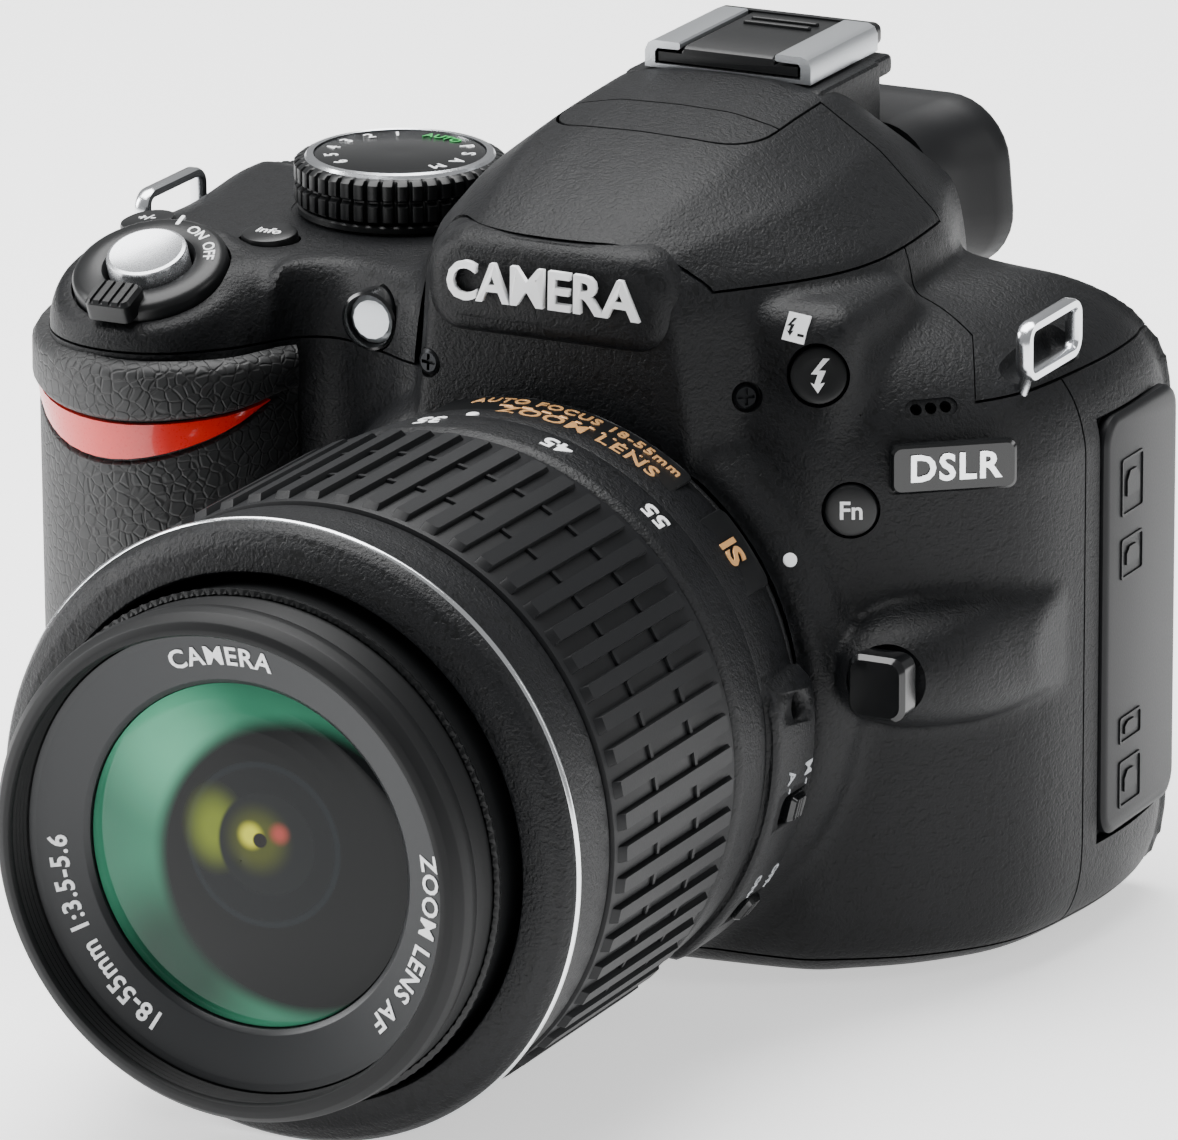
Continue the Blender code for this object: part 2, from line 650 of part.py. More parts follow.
def internals():
    box("battery", (-55.4, 10.0, 3.4), (-41.6, 47.6, 58.0), smooth_plastic(), 1.0)
    box("memory_card", (-57.2, 49.2, 24.0), (-25.2, 51.3, 48.0), smooth_plastic())
    box("image_sensor", (LENS_X - 14, 50.2, LENS_Z - 11), (LENS_X + 14, 52.6, LENS_Z + 11), glass_material())
    box("main_board", (-22.0, 54.0, 8.0), (52.0, 55.6, 60.0), board_green())
    frame = box("shutter_frame", (LENS_X - 22, 46.0, 16.0), (LENS_X + 22, 48.8, 54.5), dark_metal())
    cut_box(frame, (LENS_X - 12.5, 40.0, LENS_Z - 8.5), (LENS_X + 12.5, 60.0, LENS_Z + 8.5))
    chamber = box("mirror_box", (LENS_X - 19.5, 10.3, 14.5), (LENS_X + 19.5, 45.6, 57.0), smooth_plastic())
    cut_box(chamber, (LENS_X - 15.6, 5.0, 18.0), (LENS_X + 15.6, 50.0, 54.4))
    cut_box(chamber, (LENS_X - 15.6, 5.0, 50.0), (LENS_X + 15.6, 43.0, 60.0))
    prism = [(58.8, 15.0, 15.0, 48.0), (71.0, 15.0, 15.0, 48.0), (77.4, 10.2, 27.6, 48.0), (86.6, 8.0, 31.0, 48.0)]
    sections = [
        [(LENS_X - h, y0, z), (LENS_X + h, y0, z), (LENS_X + h, y1, z), (LENS_X - h, y1, z)]
        for z, h, y0, y1 in prism
    ]
    loft("pentamirror", sections, glass_material())
    cylinder("tripod_socket", (LENS_X, 40.0, 0.0), (0, 0, 1), 6.2, 0.0, 9.0, silver_metal(), 24)
    cut_pocket(bpy.data.objects["tripod_socket"], (LENS_X, 40.0, 0.0), (0, 0, 1), 3.3, -1.0, 10.0, 20)


def reflex_mirror():
    """A thin plate on its top rear hinge, leaning at 45 degrees at rest."""
    mirror = box("reflex_mirror", (-14.6, -MIRROR_LENGTH, -0.6), (14.6, -0.5, 0.6), glass_material())
    mirror.rotation_euler.x = math.radians(45.0)
    mirror.location = Vector((LENS_X, *MIRROR_HINGE)) * MM
    return mirror


def barrel_panel():
    """The raised panel on the side of the fixed barrel that carries the two switches."""
    sections = []
    angles = [math.radians(a) for a in range(-52, 13, 8)]
    for y in (-11.4, -1.5):
        outer = [(35.0 * math.cos(a), 35.0 * math.sin(a)) for a in angles]
        inner = [(30.5 * math.cos(a), 30.5 * math.sin(a)) for a in reversed(angles)]
        sections.append([(LENS_X + x, y, LENS_Z + z) for x, z in outer + inner])
    return loft("panel", sections, body_plastic())


def switch_frame(angle):
    """Place on the barrel panel at an angle from +X, and its outward direction."""
    outward = Vector((math.cos(math.radians(angle)), 0.0, math.sin(math.radians(angle))))
    return Vector((LENS_X, -5.6, LENS_Z)) + outward * 34.2, outward


def lens_switch(name, angle):
    place, outward = switch_frame(angle)
    knob = along_axis(place, outward, [(0.0, rounded_rect(1.6, 1.6, 0.4)), (1.6, rounded_rect(1.3, 1.3, 0.4))],
                      smooth_plastic(), name)
    return pivot(knob, place)


SWITCH_ANGLES = {"focus_mode_switch": -14.0, "stabiliser_switch": -37.0}
SLOT_PLAN = rounded_rect(3.5, 1.9, 0.4)


def lens():
    turned("body_mount_ring", [(MOUNT_R, 4.5), (MOUNT_R, 8.8), (THROAT_R, 8.8), (THROAT_R, 4.5)], silver_metal())
    turned("lens_mount", [(30.2, 1.6), (30.2, 4.2), (21.8, 4.2), (21.8, 8.2), (18.8, 8.2), (18.8, 1.6)], silver_metal())
    barrel = turned("lens_barrel", [
        (30.0, 1.3), (32.2, -3.0), (33.3, -8.0), (33.6, -12.0), (28.2, -12.0), (28.2, -3.0), (20.0, -3.0), (20.0, 1.3),
    ], body_plastic())
    combine(barrel, barrel_panel(), "UNION")
    for name, angle in SWITCH_ANGLES.items():
        place, outward = switch_frame(angle)
        slot = along_axis(place, outward, [(-GAP, SLOT_PLAN), (4.0, SLOT_PLAN)],
                          body_plastic(), "tool")
        cut(barrel, slot)
        lens_switch(name, angle)
    turned("zoom_ring", [
        (33.9, -12.3), (33.9, -20.0), (33.2, -20.2), (33.2, -50.6), (33.9, -50.8), (33.9, -58.0), (ZOOM_R, -59.2),
        (ZOOM_R, -60.4), (33.4, -61.5), (29.6, -62.0), (29.6, -60.2), (31.4, -58.5), (31.4, -12.3),
    ], smooth_plastic())
    turned("zoom_rubber", [(33.5, -20.5), (ZOOM_R, -20.9), (ZOOM_R, -49.9), (33.5, -50.3)], grip_rubber_material())
    turned("inner_barrel", [(27.4, -8.0), (27.4, -56.5), (25.8, -56.5), (25.8, -8.0)], smooth_plastic())
    turned("focus_ring", [(28.9, -56.8), (28.9, -71.9), (27.3, -71.9), (27.3, -56.8)], smooth_plastic())
    turned("front_bezel", [
        (FILTER_R, -72.2), (FILTER_R, -73.2), (26.8, -75.0), (25.9, -75.0), (25.9, -70.8), (19.4, -70.0),
        (19.4, -66.0), (26.9, -66.0), (26.9, -72.2),
    ], smooth_plastic())
    turned("front_glass", [
        (3.0, -71.0), (9.0, -70.8), (15.0, -70.2), (19.0, -69.4), (19.0, -66.4), (3.0, -66.2),
    ], glass_material(), closed=False)


def build():
    clear_scene()
    front_cover()
    rear_cover()
    bottom_cover()
    top_cover()
    flash_head()
    body_trim()
    eyecup()
    accessory_shoe()
    strap_lug("strap_lug_right", 56.4, 58.1, (33.0, 72.2))
    strap_lug("strap_lug_left", -59.2, -57.5, (38.0, 73.0))
    small_buttons()
    shutter_group()
    mode_dial()
    rear_controls()
    doors()
    internals()
    reflex_mirror()
    lens()
    smooth_round_pieces()


def smooth_round_pieces():
    for obj in bpy.data.objects:
        obj.data.shade_smooth()
        obj.data.set_sharp_from_angle(angle=math.radians(35))


build()
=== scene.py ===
"""Single-lens reflex camera with a zoom lens: how every piece looks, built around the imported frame."""

import math

import bmesh
import bpy
from mathutils import Matrix, Vector


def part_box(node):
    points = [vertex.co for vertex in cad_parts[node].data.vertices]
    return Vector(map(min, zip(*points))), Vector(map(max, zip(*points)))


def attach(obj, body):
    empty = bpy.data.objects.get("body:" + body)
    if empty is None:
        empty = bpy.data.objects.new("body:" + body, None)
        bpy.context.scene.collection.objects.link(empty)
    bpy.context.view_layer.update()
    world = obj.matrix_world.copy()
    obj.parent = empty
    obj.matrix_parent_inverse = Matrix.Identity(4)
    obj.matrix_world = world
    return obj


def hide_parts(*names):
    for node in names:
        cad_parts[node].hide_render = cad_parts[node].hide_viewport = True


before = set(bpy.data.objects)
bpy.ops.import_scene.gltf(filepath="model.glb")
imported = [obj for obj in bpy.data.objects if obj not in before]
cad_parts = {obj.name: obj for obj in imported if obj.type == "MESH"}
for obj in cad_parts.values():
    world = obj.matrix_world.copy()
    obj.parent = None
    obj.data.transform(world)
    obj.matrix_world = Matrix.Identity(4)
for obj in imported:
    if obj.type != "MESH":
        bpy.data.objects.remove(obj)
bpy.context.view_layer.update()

MM = 0.001
SEAM = 0.3


def middle(node):
    low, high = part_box(node)
    return (Vector(low) + Vector(high)) / 2 / MM


LENS_X = middle("zoom_ring").x
LENS_Z = middle("zoom_ring").z

TOP_SEAM_Z = 67.4
SIDE_SEAM_Y = 34.0
BASE_SEAM_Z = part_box("bottom_cover")[1][2] / MM
FLASH_SEAM_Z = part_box("flash_head")[0][2] / MM
FLASH_REAR_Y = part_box("flash_head")[1][1] / MM
SHOE_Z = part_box("shoe_rails")[0][2] / MM
DIAL = middle("mode_dial")
SHUTTER = Vector((-44.0, 7.6, 74.2))
SHUTTER_AXIS = Vector((0.0, -0.36, 0.93)).normalized()


# ---------------------------------------------------------------- hand tools

def clear_selection():
    if bpy.context.object and bpy.context.object.mode == "EDIT":
        bpy.ops.object.mode_set(mode="OBJECT")
    bpy.ops.object.select_all(action="DESELECT")


def named(piece, name):
    piece.name = name
    piece.data.name = name
    return piece


def pick(piece):
    clear_selection()
    piece.select_set(True)
    bpy.context.view_layer.objects.active = piece


def place_ring(piece, ring, outline):
    mesh = bmesh.from_edit_mesh(piece.data)
    mesh.verts.ensure_lookup_table()
    for index, point in zip(ring, outline):
        mesh.verts[index].co = Vector(point) * MM
    bmesh.update_edit_mesh(piece.data)


def next_ring(piece, ring, first_new):
    """The corners that an extrusion has just made, in the order of the ring they came from."""
    mesh = bmesh.from_edit_mesh(piece.data)
    mesh.verts.ensure_lookup_table()
    found = []
    for index in ring:
        corner = mesh.verts[index]
        found.append(next(e.other_vert(corner).index for e in corner.link_edges
                          if e.other_vert(corner).index >= first_new))
    return found


def start_outline(name, outline):
    clear_selection()
    bpy.ops.mesh.primitive_circle_add(vertices=len(outline), radius=MM)
    piece = named(bpy.context.object, name)
    bpy.ops.object.mode_set(mode="EDIT")
    bpy.ops.mesh.select_all(action="SELECT")
    ring = list(range(len(outline)))
    place_ring(piece, ring, outline)
    return piece, ring


def skin(name, sections, closed=False):
    """Extrude one outline from section to section; a closed chain joins up, another gets two caps."""
    piece, ring = start_outline(name, sections[0])
    for outline in sections[1:] + ([sections[0]] if closed else []):
        first_new = len(bmesh.from_edit_mesh(piece.data).verts)
        bpy.ops.mesh.extrude_edges_move()
        ring = next_ring(piece, ring, first_new)
        place_ring(piece, ring, outline)
    bpy.ops.mesh.select_all(action="SELECT")
    if closed:
        bpy.ops.mesh.remove_doubles(threshold=0.0005 * MM)
    else:
        bpy.ops.mesh.fill_holes(sides=0)
    return close_up(piece)


def close_up(piece):
    bpy.ops.mesh.select_all(action="SELECT")
    bpy.ops.mesh.normals_make_consistent(inside=False)
    bpy.ops.object.mode_set(mode="OBJECT")
    return piece


def smooth(piece, degrees=32):
    pick(piece)
    bpy.ops.object.shade_smooth_by_angle(angle=math.radians(degrees))
    return piece


def soften(outline, radius, steps=2, closed=True):
    """Round the corners of a 2-D outline."""
    count = len(outline)
    rounded = []
    for i in range(count):
        here = Vector(outline[i])
        if not closed and i in (0, count - 1):
            rounded.append(here)
            continue
        before = Vector(outline[i - 1]) - here
        after = Vector(outline[(i + 1) % count]) - here
        reach = min(radius, before.length * 0.45, after.length * 0.45)
        a = here + before.normalized() * reach
        b = here + after.normalized() * reach
        for step in range(steps + 1):
            t = step / steps
            rounded.append(a * (1 - t) ** 2 + here * 2 * t * (1 - t) + b * t * t)
    return rounded


def turn(name, profile, steps=128, corner=0.25):
    """Spin a closed (radius, y) profile round the lens axis."""
    outline = [(LENS_X + p[0], p[1], LENS_Z) for p in soften(profile, corner)]
    piece, _ = start_outline(name, outline)
    bpy.ops.mesh.spin(steps=steps, angle=math.tau, center=Vector((LENS_X, 0, LENS_Z)) * MM, axis=(0, 1, 0))
    bpy.ops.mesh.select_all(action="SELECT")
    bpy.ops.mesh.remove_doubles(threshold=0.002 * MM)
    return smooth(close_up(piece))


def rounded_rect(half_width, half_height, radius, steps=5):
    points = []
    for quarter, (sx, sy) in enumerate(((1, 1), (-1, 1), (-1, -1), (1, -1))):
        for i in range(steps + 1):
            angle = math.radians(90 * quarter + 90 * i / steps)
            points.append((sx * (half_width - radius) + radius * math.cos(angle),
                           sy * (half_height - radius) + radius * math.sin(angle)))
    return points


def circle(radius, count=64):
    angles = [math.tau * i / count for i in range(count)]
    return [(radius * math.cos(angle), radius * math.sin(angle)) for angle in angles]


def along(name, centre, axis, sections, closed=False):
    """Skin 2-D outlines at distances along an axis; their y is upwards, or backwards on a flat top."""
    turned = Vector(axis).normalized().to_track_quat("Z", "Y").to_matrix()
    centre = Vector(centre)
    placed = [[centre + turned @ Vector((x, y, distance)) for x, y in outline]
              for distance, outline in sections]
    return smooth(skin(name, placed, closed))


def button_shape(name, centre, axis, radius, low, high, dish=0.0, count=64):
    """A round button with a rolled edge, and a shallow dish where a finger rests."""
    edge = min(0.5, radius * 0.2)
    sections = [(low, circle(radius, count)), (high - edge, circle(radius, count)),
                (high - edge * 0.3, circle(radius - edge * 0.3, count)), (high, circle(radius - edge, count))]
    if dish:
        sections.append((high - dish, circle(radius * 0.55, count)))
    sections.append((high - dish * 1.15, circle(radius * 0.12, count)))
    return along(name, centre, axis, sections)


def block(name, low, high, bevel=0.0, segments=3):
    clear_selection()
    centre = (Vector(low) + Vector(high)) / 2 * MM
    bpy.ops.mesh.primitive_cube_add(size=1.0, location=centre)
    piece = named(bpy.context.object, name)
    piece.scale = (Vector(high) - Vector(low)) * MM
    bpy.ops.object.transform_apply(location=True, rotation=True, scale=True)
    if bevel:
        bpy.ops.object.mode_set(mode="EDIT")
        bpy.ops.mesh.select_all(action="SELECT")
        bpy.ops.mesh.bevel(offset=bevel * MM, segments=segments, profile=0.6)
        bpy.ops.object.mode_set(mode="OBJECT")
    return smooth(piece)


def apply_modifier(piece, kind, **settings):
    pick(piece)
    modifier = piece.modifiers.new("shaping", kind)
    for key, value in settings.items():
        setattr(modifier, key, value)
    bpy.ops.object.modifier_apply(modifier=modifier.name)


def combine(piece, tool, operation="DIFFERENCE"):
    apply_modifier(piece, "BOOLEAN", operation=operation, solver="MANIFOLD", object=tool)
    bpy.data.objects.remove(tool)
    return piece


def plug(centre, axis, outline, low, high):
    """A straight cutter of one outline along an axis."""
    return along("tool", centre, axis, [(low, outline), (high, outline)])


def carve(piece, *tools):
    for tool in tools:
        combine(piece, tool)
    return piece


def screw_head(name, centre, axis, levels, radii, count, slot, corner, slot_floor):
    """A cross-headed screw: its head's levels and radii, then the half sizes of the slot."""
    head = along(name, centre, axis, [(level, circle(radius, count)) for level, radius in zip(levels, radii)])
    for flat in (slot, slot[::-1]):
        carve(head, plug(centre, axis, rounded_rect(*flat, corner), slot_floor, 1.0))
    return head


def copy_of(piece, name):
    pick(piece)
    bpy.ops.object.duplicate()
    return named(bpy.context.object, name)


def join(name, pieces):
    pick(pieces[0])
    for piece in pieces[1:]:
        piece.select_set(True)
    if len(pieces) > 1:
        bpy.ops.object.join()
    return named(pieces[0], name)


def flow(rows, steps, closed=False):
    """Smooth curve through rows of numbers; an open one keeps its ends."""
    rows = [Vector(r) for r in rows]
    count = len(rows)
    out = []
    for i in range(count if closed else count - 1):
        a, b, c, d = (rows[(i + k) % count if closed else max(0, min(count - 1, i + k))]
                      for k in (-1, 0, 1, 2))
        for step in range(steps):
            t = step / steps
            out.append(0.5 * (2 * b + (c - a) * t + (2 * a - 5 * b + 4 * c - d) * t * t
                              + (3 * b - a - 3 * c + d) * t ** 3))
    return out if closed else out + [rows[-1]]


def lettering(name, words, size, place, raise_by=0.12, thicken=0.0, spacing=1.0):
    """Printed or moulded characters: place(x, y, height) gives where a point of the text goes, all in mm."""
    clear_selection()
    bpy.ops.object.text_add()
    text = bpy.context.object.data
    text.body = words
    text.align_x = text.align_y = "CENTER"
    text.size = size
    text.space_character = spacing
    text.offset = thicken
    text.extrude = raise_by
    text.resolution_u = 3
    bpy.ops.object.convert(target="MESH")
    piece = bpy.context.object
    bpy.ops.object.mode_set(mode="EDIT")
    bpy.ops.mesh.select_all(action="SELECT")
    bpy.ops.mesh.remove_doubles(threshold=0.0001)
    bpy.ops.mesh.normals_make_consistent(inside=False)
    bpy.ops.object.mode_set(mode="OBJECT")
    for vertex in piece.data.vertices:
        vertex.co = Vector(place(*vertex.co)) * MM
    return named(piece, name)


def flat_on(centre, axis, up=(0, 0, 1)):
    """Where a text point goes on a flat face."""
    axis = Vector(axis).normalized()
    up = (Vector(up) - axis * Vector(up).dot(axis)).normalized()
    right = up.cross(axis)
    centre = Vector(centre)
    return lambda x, y, h: centre + right * x + up * y + axis * h


def round_the_lens(radius, y, degrees, top_to_front=True):
    """Where a text point goes on the barrel; degrees run from the top towards +X."""
    sign = 1 if top_to_front else -1

    def place(x, along_y, h):
        angle = math.radians(degrees) + sign * x / radius
        reach = radius + h
        return (LENS_X + reach * math.sin(angle), y + sign * along_y, LENS_Z + reach * math.cos(angle))
    return place


# ---------------------------------------------------------------- finishes

def linear(code):
    channels = [int(code[i:i + 2], 16) / 255 for i in (1, 3, 5)]
    return tuple(c / 12.92 if c <= 0.04045 else ((c + 0.055) / 1.055) ** 2.4 for c in channels) + (1.0,)


def add(tree, kind, links=(), **settings):
    """Add one node: settings name its properties or its inputs, links join (from socket, to input)."""
    node = tree.nodes.new(kind)
    for key, value in settings.items():
        if hasattr(node, key):
            setattr(node, key, value)
        else:
            node.inputs[key.replace("_", " ")].default_value = value
    for source, target in links:
        tree.links.new(source, node.inputs[target])
    return node


def new_finish(name, colour, roughness, metallic=0.0, **sockets):
    made = bpy.data.materials.new(name)
    made.use_nodes = True
    shader = made.node_tree.nodes["Principled BSDF"]
    shader.inputs["Base Color"].default_value = linear(colour)
    shader.inputs["Roughness"].default_value = roughness
    shader.inputs["Metallic"].default_value = metallic
    for key, value in sockets.items():
        shader.inputs[key.replace("_", " ")].default_value = value
    return made, made.node_tree, shader


def object_noise(tree, scale, **settings):
    """Random grain, as many to the metre as scale, in the object's own coordinates."""
    place = add(tree, "ShaderNodeTexCoord").outputs["Object"]
    return add(tree, "ShaderNodeTexNoise", [(place, "Vector")], Scale=scale, **settings)


def two_tone(tree, shader, factor, low, high):
    tint = add(tree, "ShaderNodeMix", [(factor, "Factor")], data_type="RGBA")
    tint.inputs["A"].default_value = linear(low)
    tint.inputs["B"].default_value = linear(high)
    tree.links.new(tint.outputs["Result"], shader.inputs["Base Color"])


def raised(tree, shader, height, strength, depth_mm):
    bump = add(tree, "ShaderNodeBump", [(height, "Height")], Strength=strength, Distance=depth_mm * MM)
    tree.links.new(bump.outputs["Normal"], shader.inputs["Normal"])


def uneven_gloss(tree, shader, grain, low, high):
    rough = add(tree, "ShaderNodeMapRange", [(grain, "Value")])
    rough.inputs["To Min"].default_value = low
    rough.inputs["To Max"].default_value = high
    tree.links.new(rough.outputs["Result"], shader.inputs["Roughness"])


def spattered(name, colour, painted_pit_shade, roughness, grain_mm, depth_mm, strength, **sockets):
    """Moulded plastic from a spark-eroded tool: a fine random grain, with a darker colour painted into its
    hollows as shade.
    """
    made, tree, shader = new_finish(name, colour, roughness, **sockets)
    grain = object_noise(tree, 1 / (grain_mm * MM), Detail=3.0, Roughness=0.6).outputs["Fac"]
    pits = object_noise(tree, 0.45 / (grain_mm * MM), Detail=1.0)
    ramp = add(tree, "ShaderNodeValToRGB", [(pits.outputs["Fac"], "Fac")])
    ramp.color_ramp.elements[0].position = 0.36
    ramp.color_ramp.elements[1].position = 0.46
    hollow = ramp.outputs["Color"]
    # Painted shade: the grain's hollows take the darker colour.
    two_tone(tree, shader, hollow, painted_pit_shade, colour)
    height = add(tree, "ShaderNodeMath", [(grain, 0), (hollow, 1), (grain, 2)], operation="MULTIPLY_ADD")
    raised(tree, shader, height.outputs["Value"], strength, depth_mm)
    uneven_gloss(tree, shader, grain, roughness - 0.08, roughness + 0.1)
    return made


def pebbled(name, colour, painted_crease_shade, roughness, pebble_mm, depth_mm, strength):
    """Rubber moulded like leather: rounded pebbles of uneven size with creases between them, the creases
    darkened with painted shade.
    """
    made, tree, shader = new_finish(name, colour, roughness)
    wobble = object_noise(tree, 0.5 / (pebble_mm * MM), Detail=1.0)
    shift = add(tree, "ShaderNodeVectorMath", [(wobble.outputs["Color"], 0)], operation="SCALE",
                Scale=0.7 * pebble_mm * MM)
    place = add(tree, "ShaderNodeTexCoord").outputs["Object"]
    moved = add(tree, "ShaderNodeVectorMath", [(place, 0), (shift.outputs["Vector"], 1)], operation="ADD")
    cells = add(tree, "ShaderNodeTexVoronoi", [(moved.outputs["Vector"], "Vector")],
                feature="DISTANCE_TO_EDGE", Scale=1 / (pebble_mm * MM))
    dome = add(tree, "ShaderNodeMapRange", [(cells.outputs["Distance"], "Value")],
               interpolation_type="SMOOTHSTEP")
    dome.inputs["From Max"].default_value = 0.16
    raised(tree, shader, dome.outputs["Result"], strength, depth_mm)
    # Painted shade: the creases between the pebbles take the darker colour.
    two_tone(tree, shader, dome.outputs["Result"], painted_crease_shade, colour)
    return made


def plain(name, colour, roughness, metallic=0.0, grain_mm=0.3, depth_mm=0.02, strength=0.15, **sockets):
    """A smooth moulded, printed or plated surface with only a faint unevenness."""
    made, tree, shader = new_finish(name, colour, roughness, metallic, **sockets)
    grain = object_noise(tree, 1 / (grain_mm * MM), Detail=2.0).outputs["Fac"]
    raised(tree, shader, grain, strength, depth_mm)
    uneven_gloss(tree, shader, grain, max(0.02, roughness - 0.04), roughness + 0.05)
    return made


def optic_finish():
    """Coated front element: its colour is painted reflections, green where the coating catches a soft light,
    nearly black elsewhere.
    """
    made, tree, shader = new_finish("multicoated_optical_glass", "#050708", 0.05,
                                    Specular_IOR_Level=0.12, Coat_Weight=0.12)
    place = add(tree, "ShaderNodeTexCoord").outputs["Object"]
    centre = Vector((LENS_X, 0, LENS_Z)) * MM

    def disc(x, z, inner, outer, squeeze=1.0):
        """1 inside a soft-edged disc of the glass, 0 outside it."""
        moved = add(tree, "ShaderNodeVectorMath", [(place, 0)], operation="SUBTRACT")
        moved.inputs[1].default_value = centre + Vector((x, 0, z)) * MM
        flat = add(tree, "ShaderNodeVectorMath", [(moved.outputs["Vector"], 0)], operation="MULTIPLY")
        flat.inputs[1].default_value = (squeeze, 0, 1)
        far = add(tree, "ShaderNodeVectorMath", [(flat.outputs["Vector"], 0)], operation="LENGTH")
        edge = add(tree, "ShaderNodeMapRange", [(far.outputs["Value"], "Value")],
                   interpolation_type="SMOOTHSTEP")
        edge.inputs["From Min"].default_value = outer * MM
        edge.inputs["From Max"].default_value = inner * MM
        return edge.outputs["Result"]

    def over(below, colour, mask):
        layer = add(tree, "ShaderNodeMix", [(mask, "Factor")], data_type="RGBA")
        if isinstance(below, str):
            layer.inputs["A"].default_value = linear(below)
        else:
            tree.links.new(below, layer.inputs["A"])
        layer.inputs["B"].default_value = linear(colour)
        return layer.outputs["Result"]

    # Each painted reflection: colour, then its place, inner and outer radius in mm, and how much it is
    # squeezed.
    reflections = (
        ("#57a583", -10.0, 12.5, 1.0, 12.0), ("#123326", -8.5, -13.0, 3.0, 13.0),
        ("#07090a", 6.2, -0.5, 15.2, 17.6),
        ("#12171a", 2.5, 2.0, 9.0, 9.4), ("#0b0e10", 2.5, 2.0, 8.3, 8.8),
        ("#5f6b1c", -3.2, 3.2, 1.0, 5.6, 1.25),
        ("#101314", 3.0, 2.2, 5.4, 6.0), ("#3a3f12", 2.0, 2.6, 1.6, 4.6), ("#b3b329", 1.2, 3.0, 0.6, 1.9),
        ("#8c3a33", 4.6, 3.6, 0.2, 1.6), ("#12100e", 2.3, 2.6, 0.7, 0.95))
    # Painted reflection: the green base of the glass, under the painted reflections listed above.
    look = "#2f6a52"
    for colour, *shape in reflections:
        look = over(look, colour, disc(*shape))
    tree.links.new(look, shader.inputs["Base Color"])
    return made


# Moulded polycarbonate covers: near black with a spark-eroded grain of a third of a millimetre, its hollows
# darkened with painted shade.
POLYCARBONATE = spattered("moulded_polycarbonate", "#0c0d0f", "#070809", 0.45, 0.34, 0.09, 0.6,
                          Specular_IOR_Level=0.2)
# The lens barrel's mouldings have a slightly coarser spatter, with the same painted shade in its hollows.
BARREL_PLASTIC = spattered("spattered_barrel_plastic", "#0e0f11", "#070809", 0.43, 0.36, 0.1, 0.6,
                           Specular_IOR_Level=0.22)
# ABS mouldings: satin for buttons, dials and levers, polished for small trims, matt for the focus ring.
SATIN_ABS = plain("satin_black_abs", "#0e0f10", 0.34, Specular_IOR_Level=0.3)
GLOSS_ABS = plain("polished_black_abs", "#0c0d0e", 0.16)
MATT_ABS = plain("matt_black_abs", "#0b0c0d", 0.5, Specular_IOR_Level=0.22)
# Grip rubber moulded like leather, with pebbles of about 1.3 mm and painted shade in the creases between
# them.
GRIP_RUBBER = pebbled("leather_grained_rubber", "#121314", "#0a0a0b", 0.56, 1.3, 0.16, 0.55)
# Plain thermoplastic rubber of the zoom band, the eyecup and the side door.
BAND_RUBBER = plain("thermoplastic_rubber", "#0d0e10", 0.46, Specular_IOR_Level=0.24,
                    grain_mm=0.25, depth_mm=0.03, strength=0.3)
# Metals: the blasted shoe, the plated eyelets and dial rim, the bright line of the barrel, and dark screws.
SHOE_STEEL = plain("bead_blasted_steel", "#c3c6c9", 0.34, 1.0, grain_mm=0.2, depth_mm=0.05, strength=0.5)
SATIN_CHROME = plain("satin_chrome", "#d9dbde", 0.2, 1.0)
BRIGHT_LINE = plain("bright_plated_line", "#e6e8ea", 0.14, 1.0)
BLACK_STEEL = plain("blackened_steel", "#1c1d1f", 0.3, 0.8)
# The shutter button's metallic paint, and the anodised ring round the front element.
SHUTTER_SILVER = plain("satin_silver_paint", "#c4c6c9", 0.27, 0.85)
NAME_RING = plain("name_ring_anodised", "#16181a", 0.38, 0.3)
# The grip's red inlay.
RED_PLASTIC = plain("red_gloss_plastic", "#cf160b", 0.28, Coat_Weight=0.5)
# Pad-printed signs and letters.
WHITE_PRINT = plain("white_pad_print", "#e8e9ea", 0.45)
GREY_PRINT = plain("grey_pad_print", "#9fa2a5", 0.5)
GREEN_PRINT = plain("green_pad_print", "#1f9a45", 0.5)
GOLD_PRINT = plain("gold_pad_print", "#c8965f", 0.4, 0.3)
# Dark glass such as the monitor window, the unlit display, the lamp's clear lens, and the front element with
# its painted reflections.
SCREEN_GLASS = plain("display_glass", "#050607", 0.06, Specular_IOR_Level=0.22)
DISPLAY_DARK = plain("unlit_display", "#0a0c0f", 0.12, Specular_IOR_Level=0.2)
CLEAR_LAMP = plain("clear_faceted_acrylic", "#b9bdc0", 0.05, 0.55)
OPTIC = optic_finish()
# The main board's green laminate.
BOARD = plain("glass_epoxy_board", "#10301c", 0.45)


def finish(piece, material, body, slot=None, *nodes):
    """Give a piece its material, its body, and the CAD nodes it stands for."""
    piece.data.materials.clear()
    piece.data.materials.append(material)
    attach(piece, body)
    if nodes:
        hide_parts(*nodes)
    return piece


def printed(name, words, size, place, material, body, *form):
    """Letters on one body; form is how far they rise, how much bolder they are, and their spacing."""
    return finish(lettering(name, words, size, place, *form), material, body, "smooth_plastic")


def repaint(material, *nodes):
    """A CAD node whose shape is right keeps it and takes the detailed material."""
    for node in nodes:
        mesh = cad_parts[node].data
        mesh.materials.clear()
        mesh.materials.append(material)


# ---------------------------------------------------------------- the body's covers

# The body's outline seen from above, in mm.
PLAN = [
    (55, 61.6), (60, 59), (61.8, 52), (62, 40), (59.5, 25), (52, 15), (43, 9), (35, 6.5), (10, 6.4),
    (-8, 6.5),
    (-16, 10), (-23, 12.7), (-28, 10), (-32, 2), (-41, -3), (-50.5, -0.4), (-57.9, 8.5), (-61.4, 24),
    (-61.8, 42),
    (-60.5, 59), (-54, 61.8), (0, 61.9)]


def edge_rounding(x):
    """The top edge rounds over little beside the lens and most at the right-hand shoulder."""
    if x < -30:
        return 1.0
    if x < 20:
        return 0.35
    return 0.35 + 1.45 * (x - 20) / 42


def base_rounding(x):
    return 1.0 + 1.3 * max(0.0, min(1.0, (x - 20) / 40))


def drawn_in(points, amount, scale):
    moved = []
    for point in points:
        spine = Vector((max(-40.0, min(36.0, point.x)), 34.0))
        moved.append(point + (spine - point).normalized() * amount * scale(point.x))
    return moved


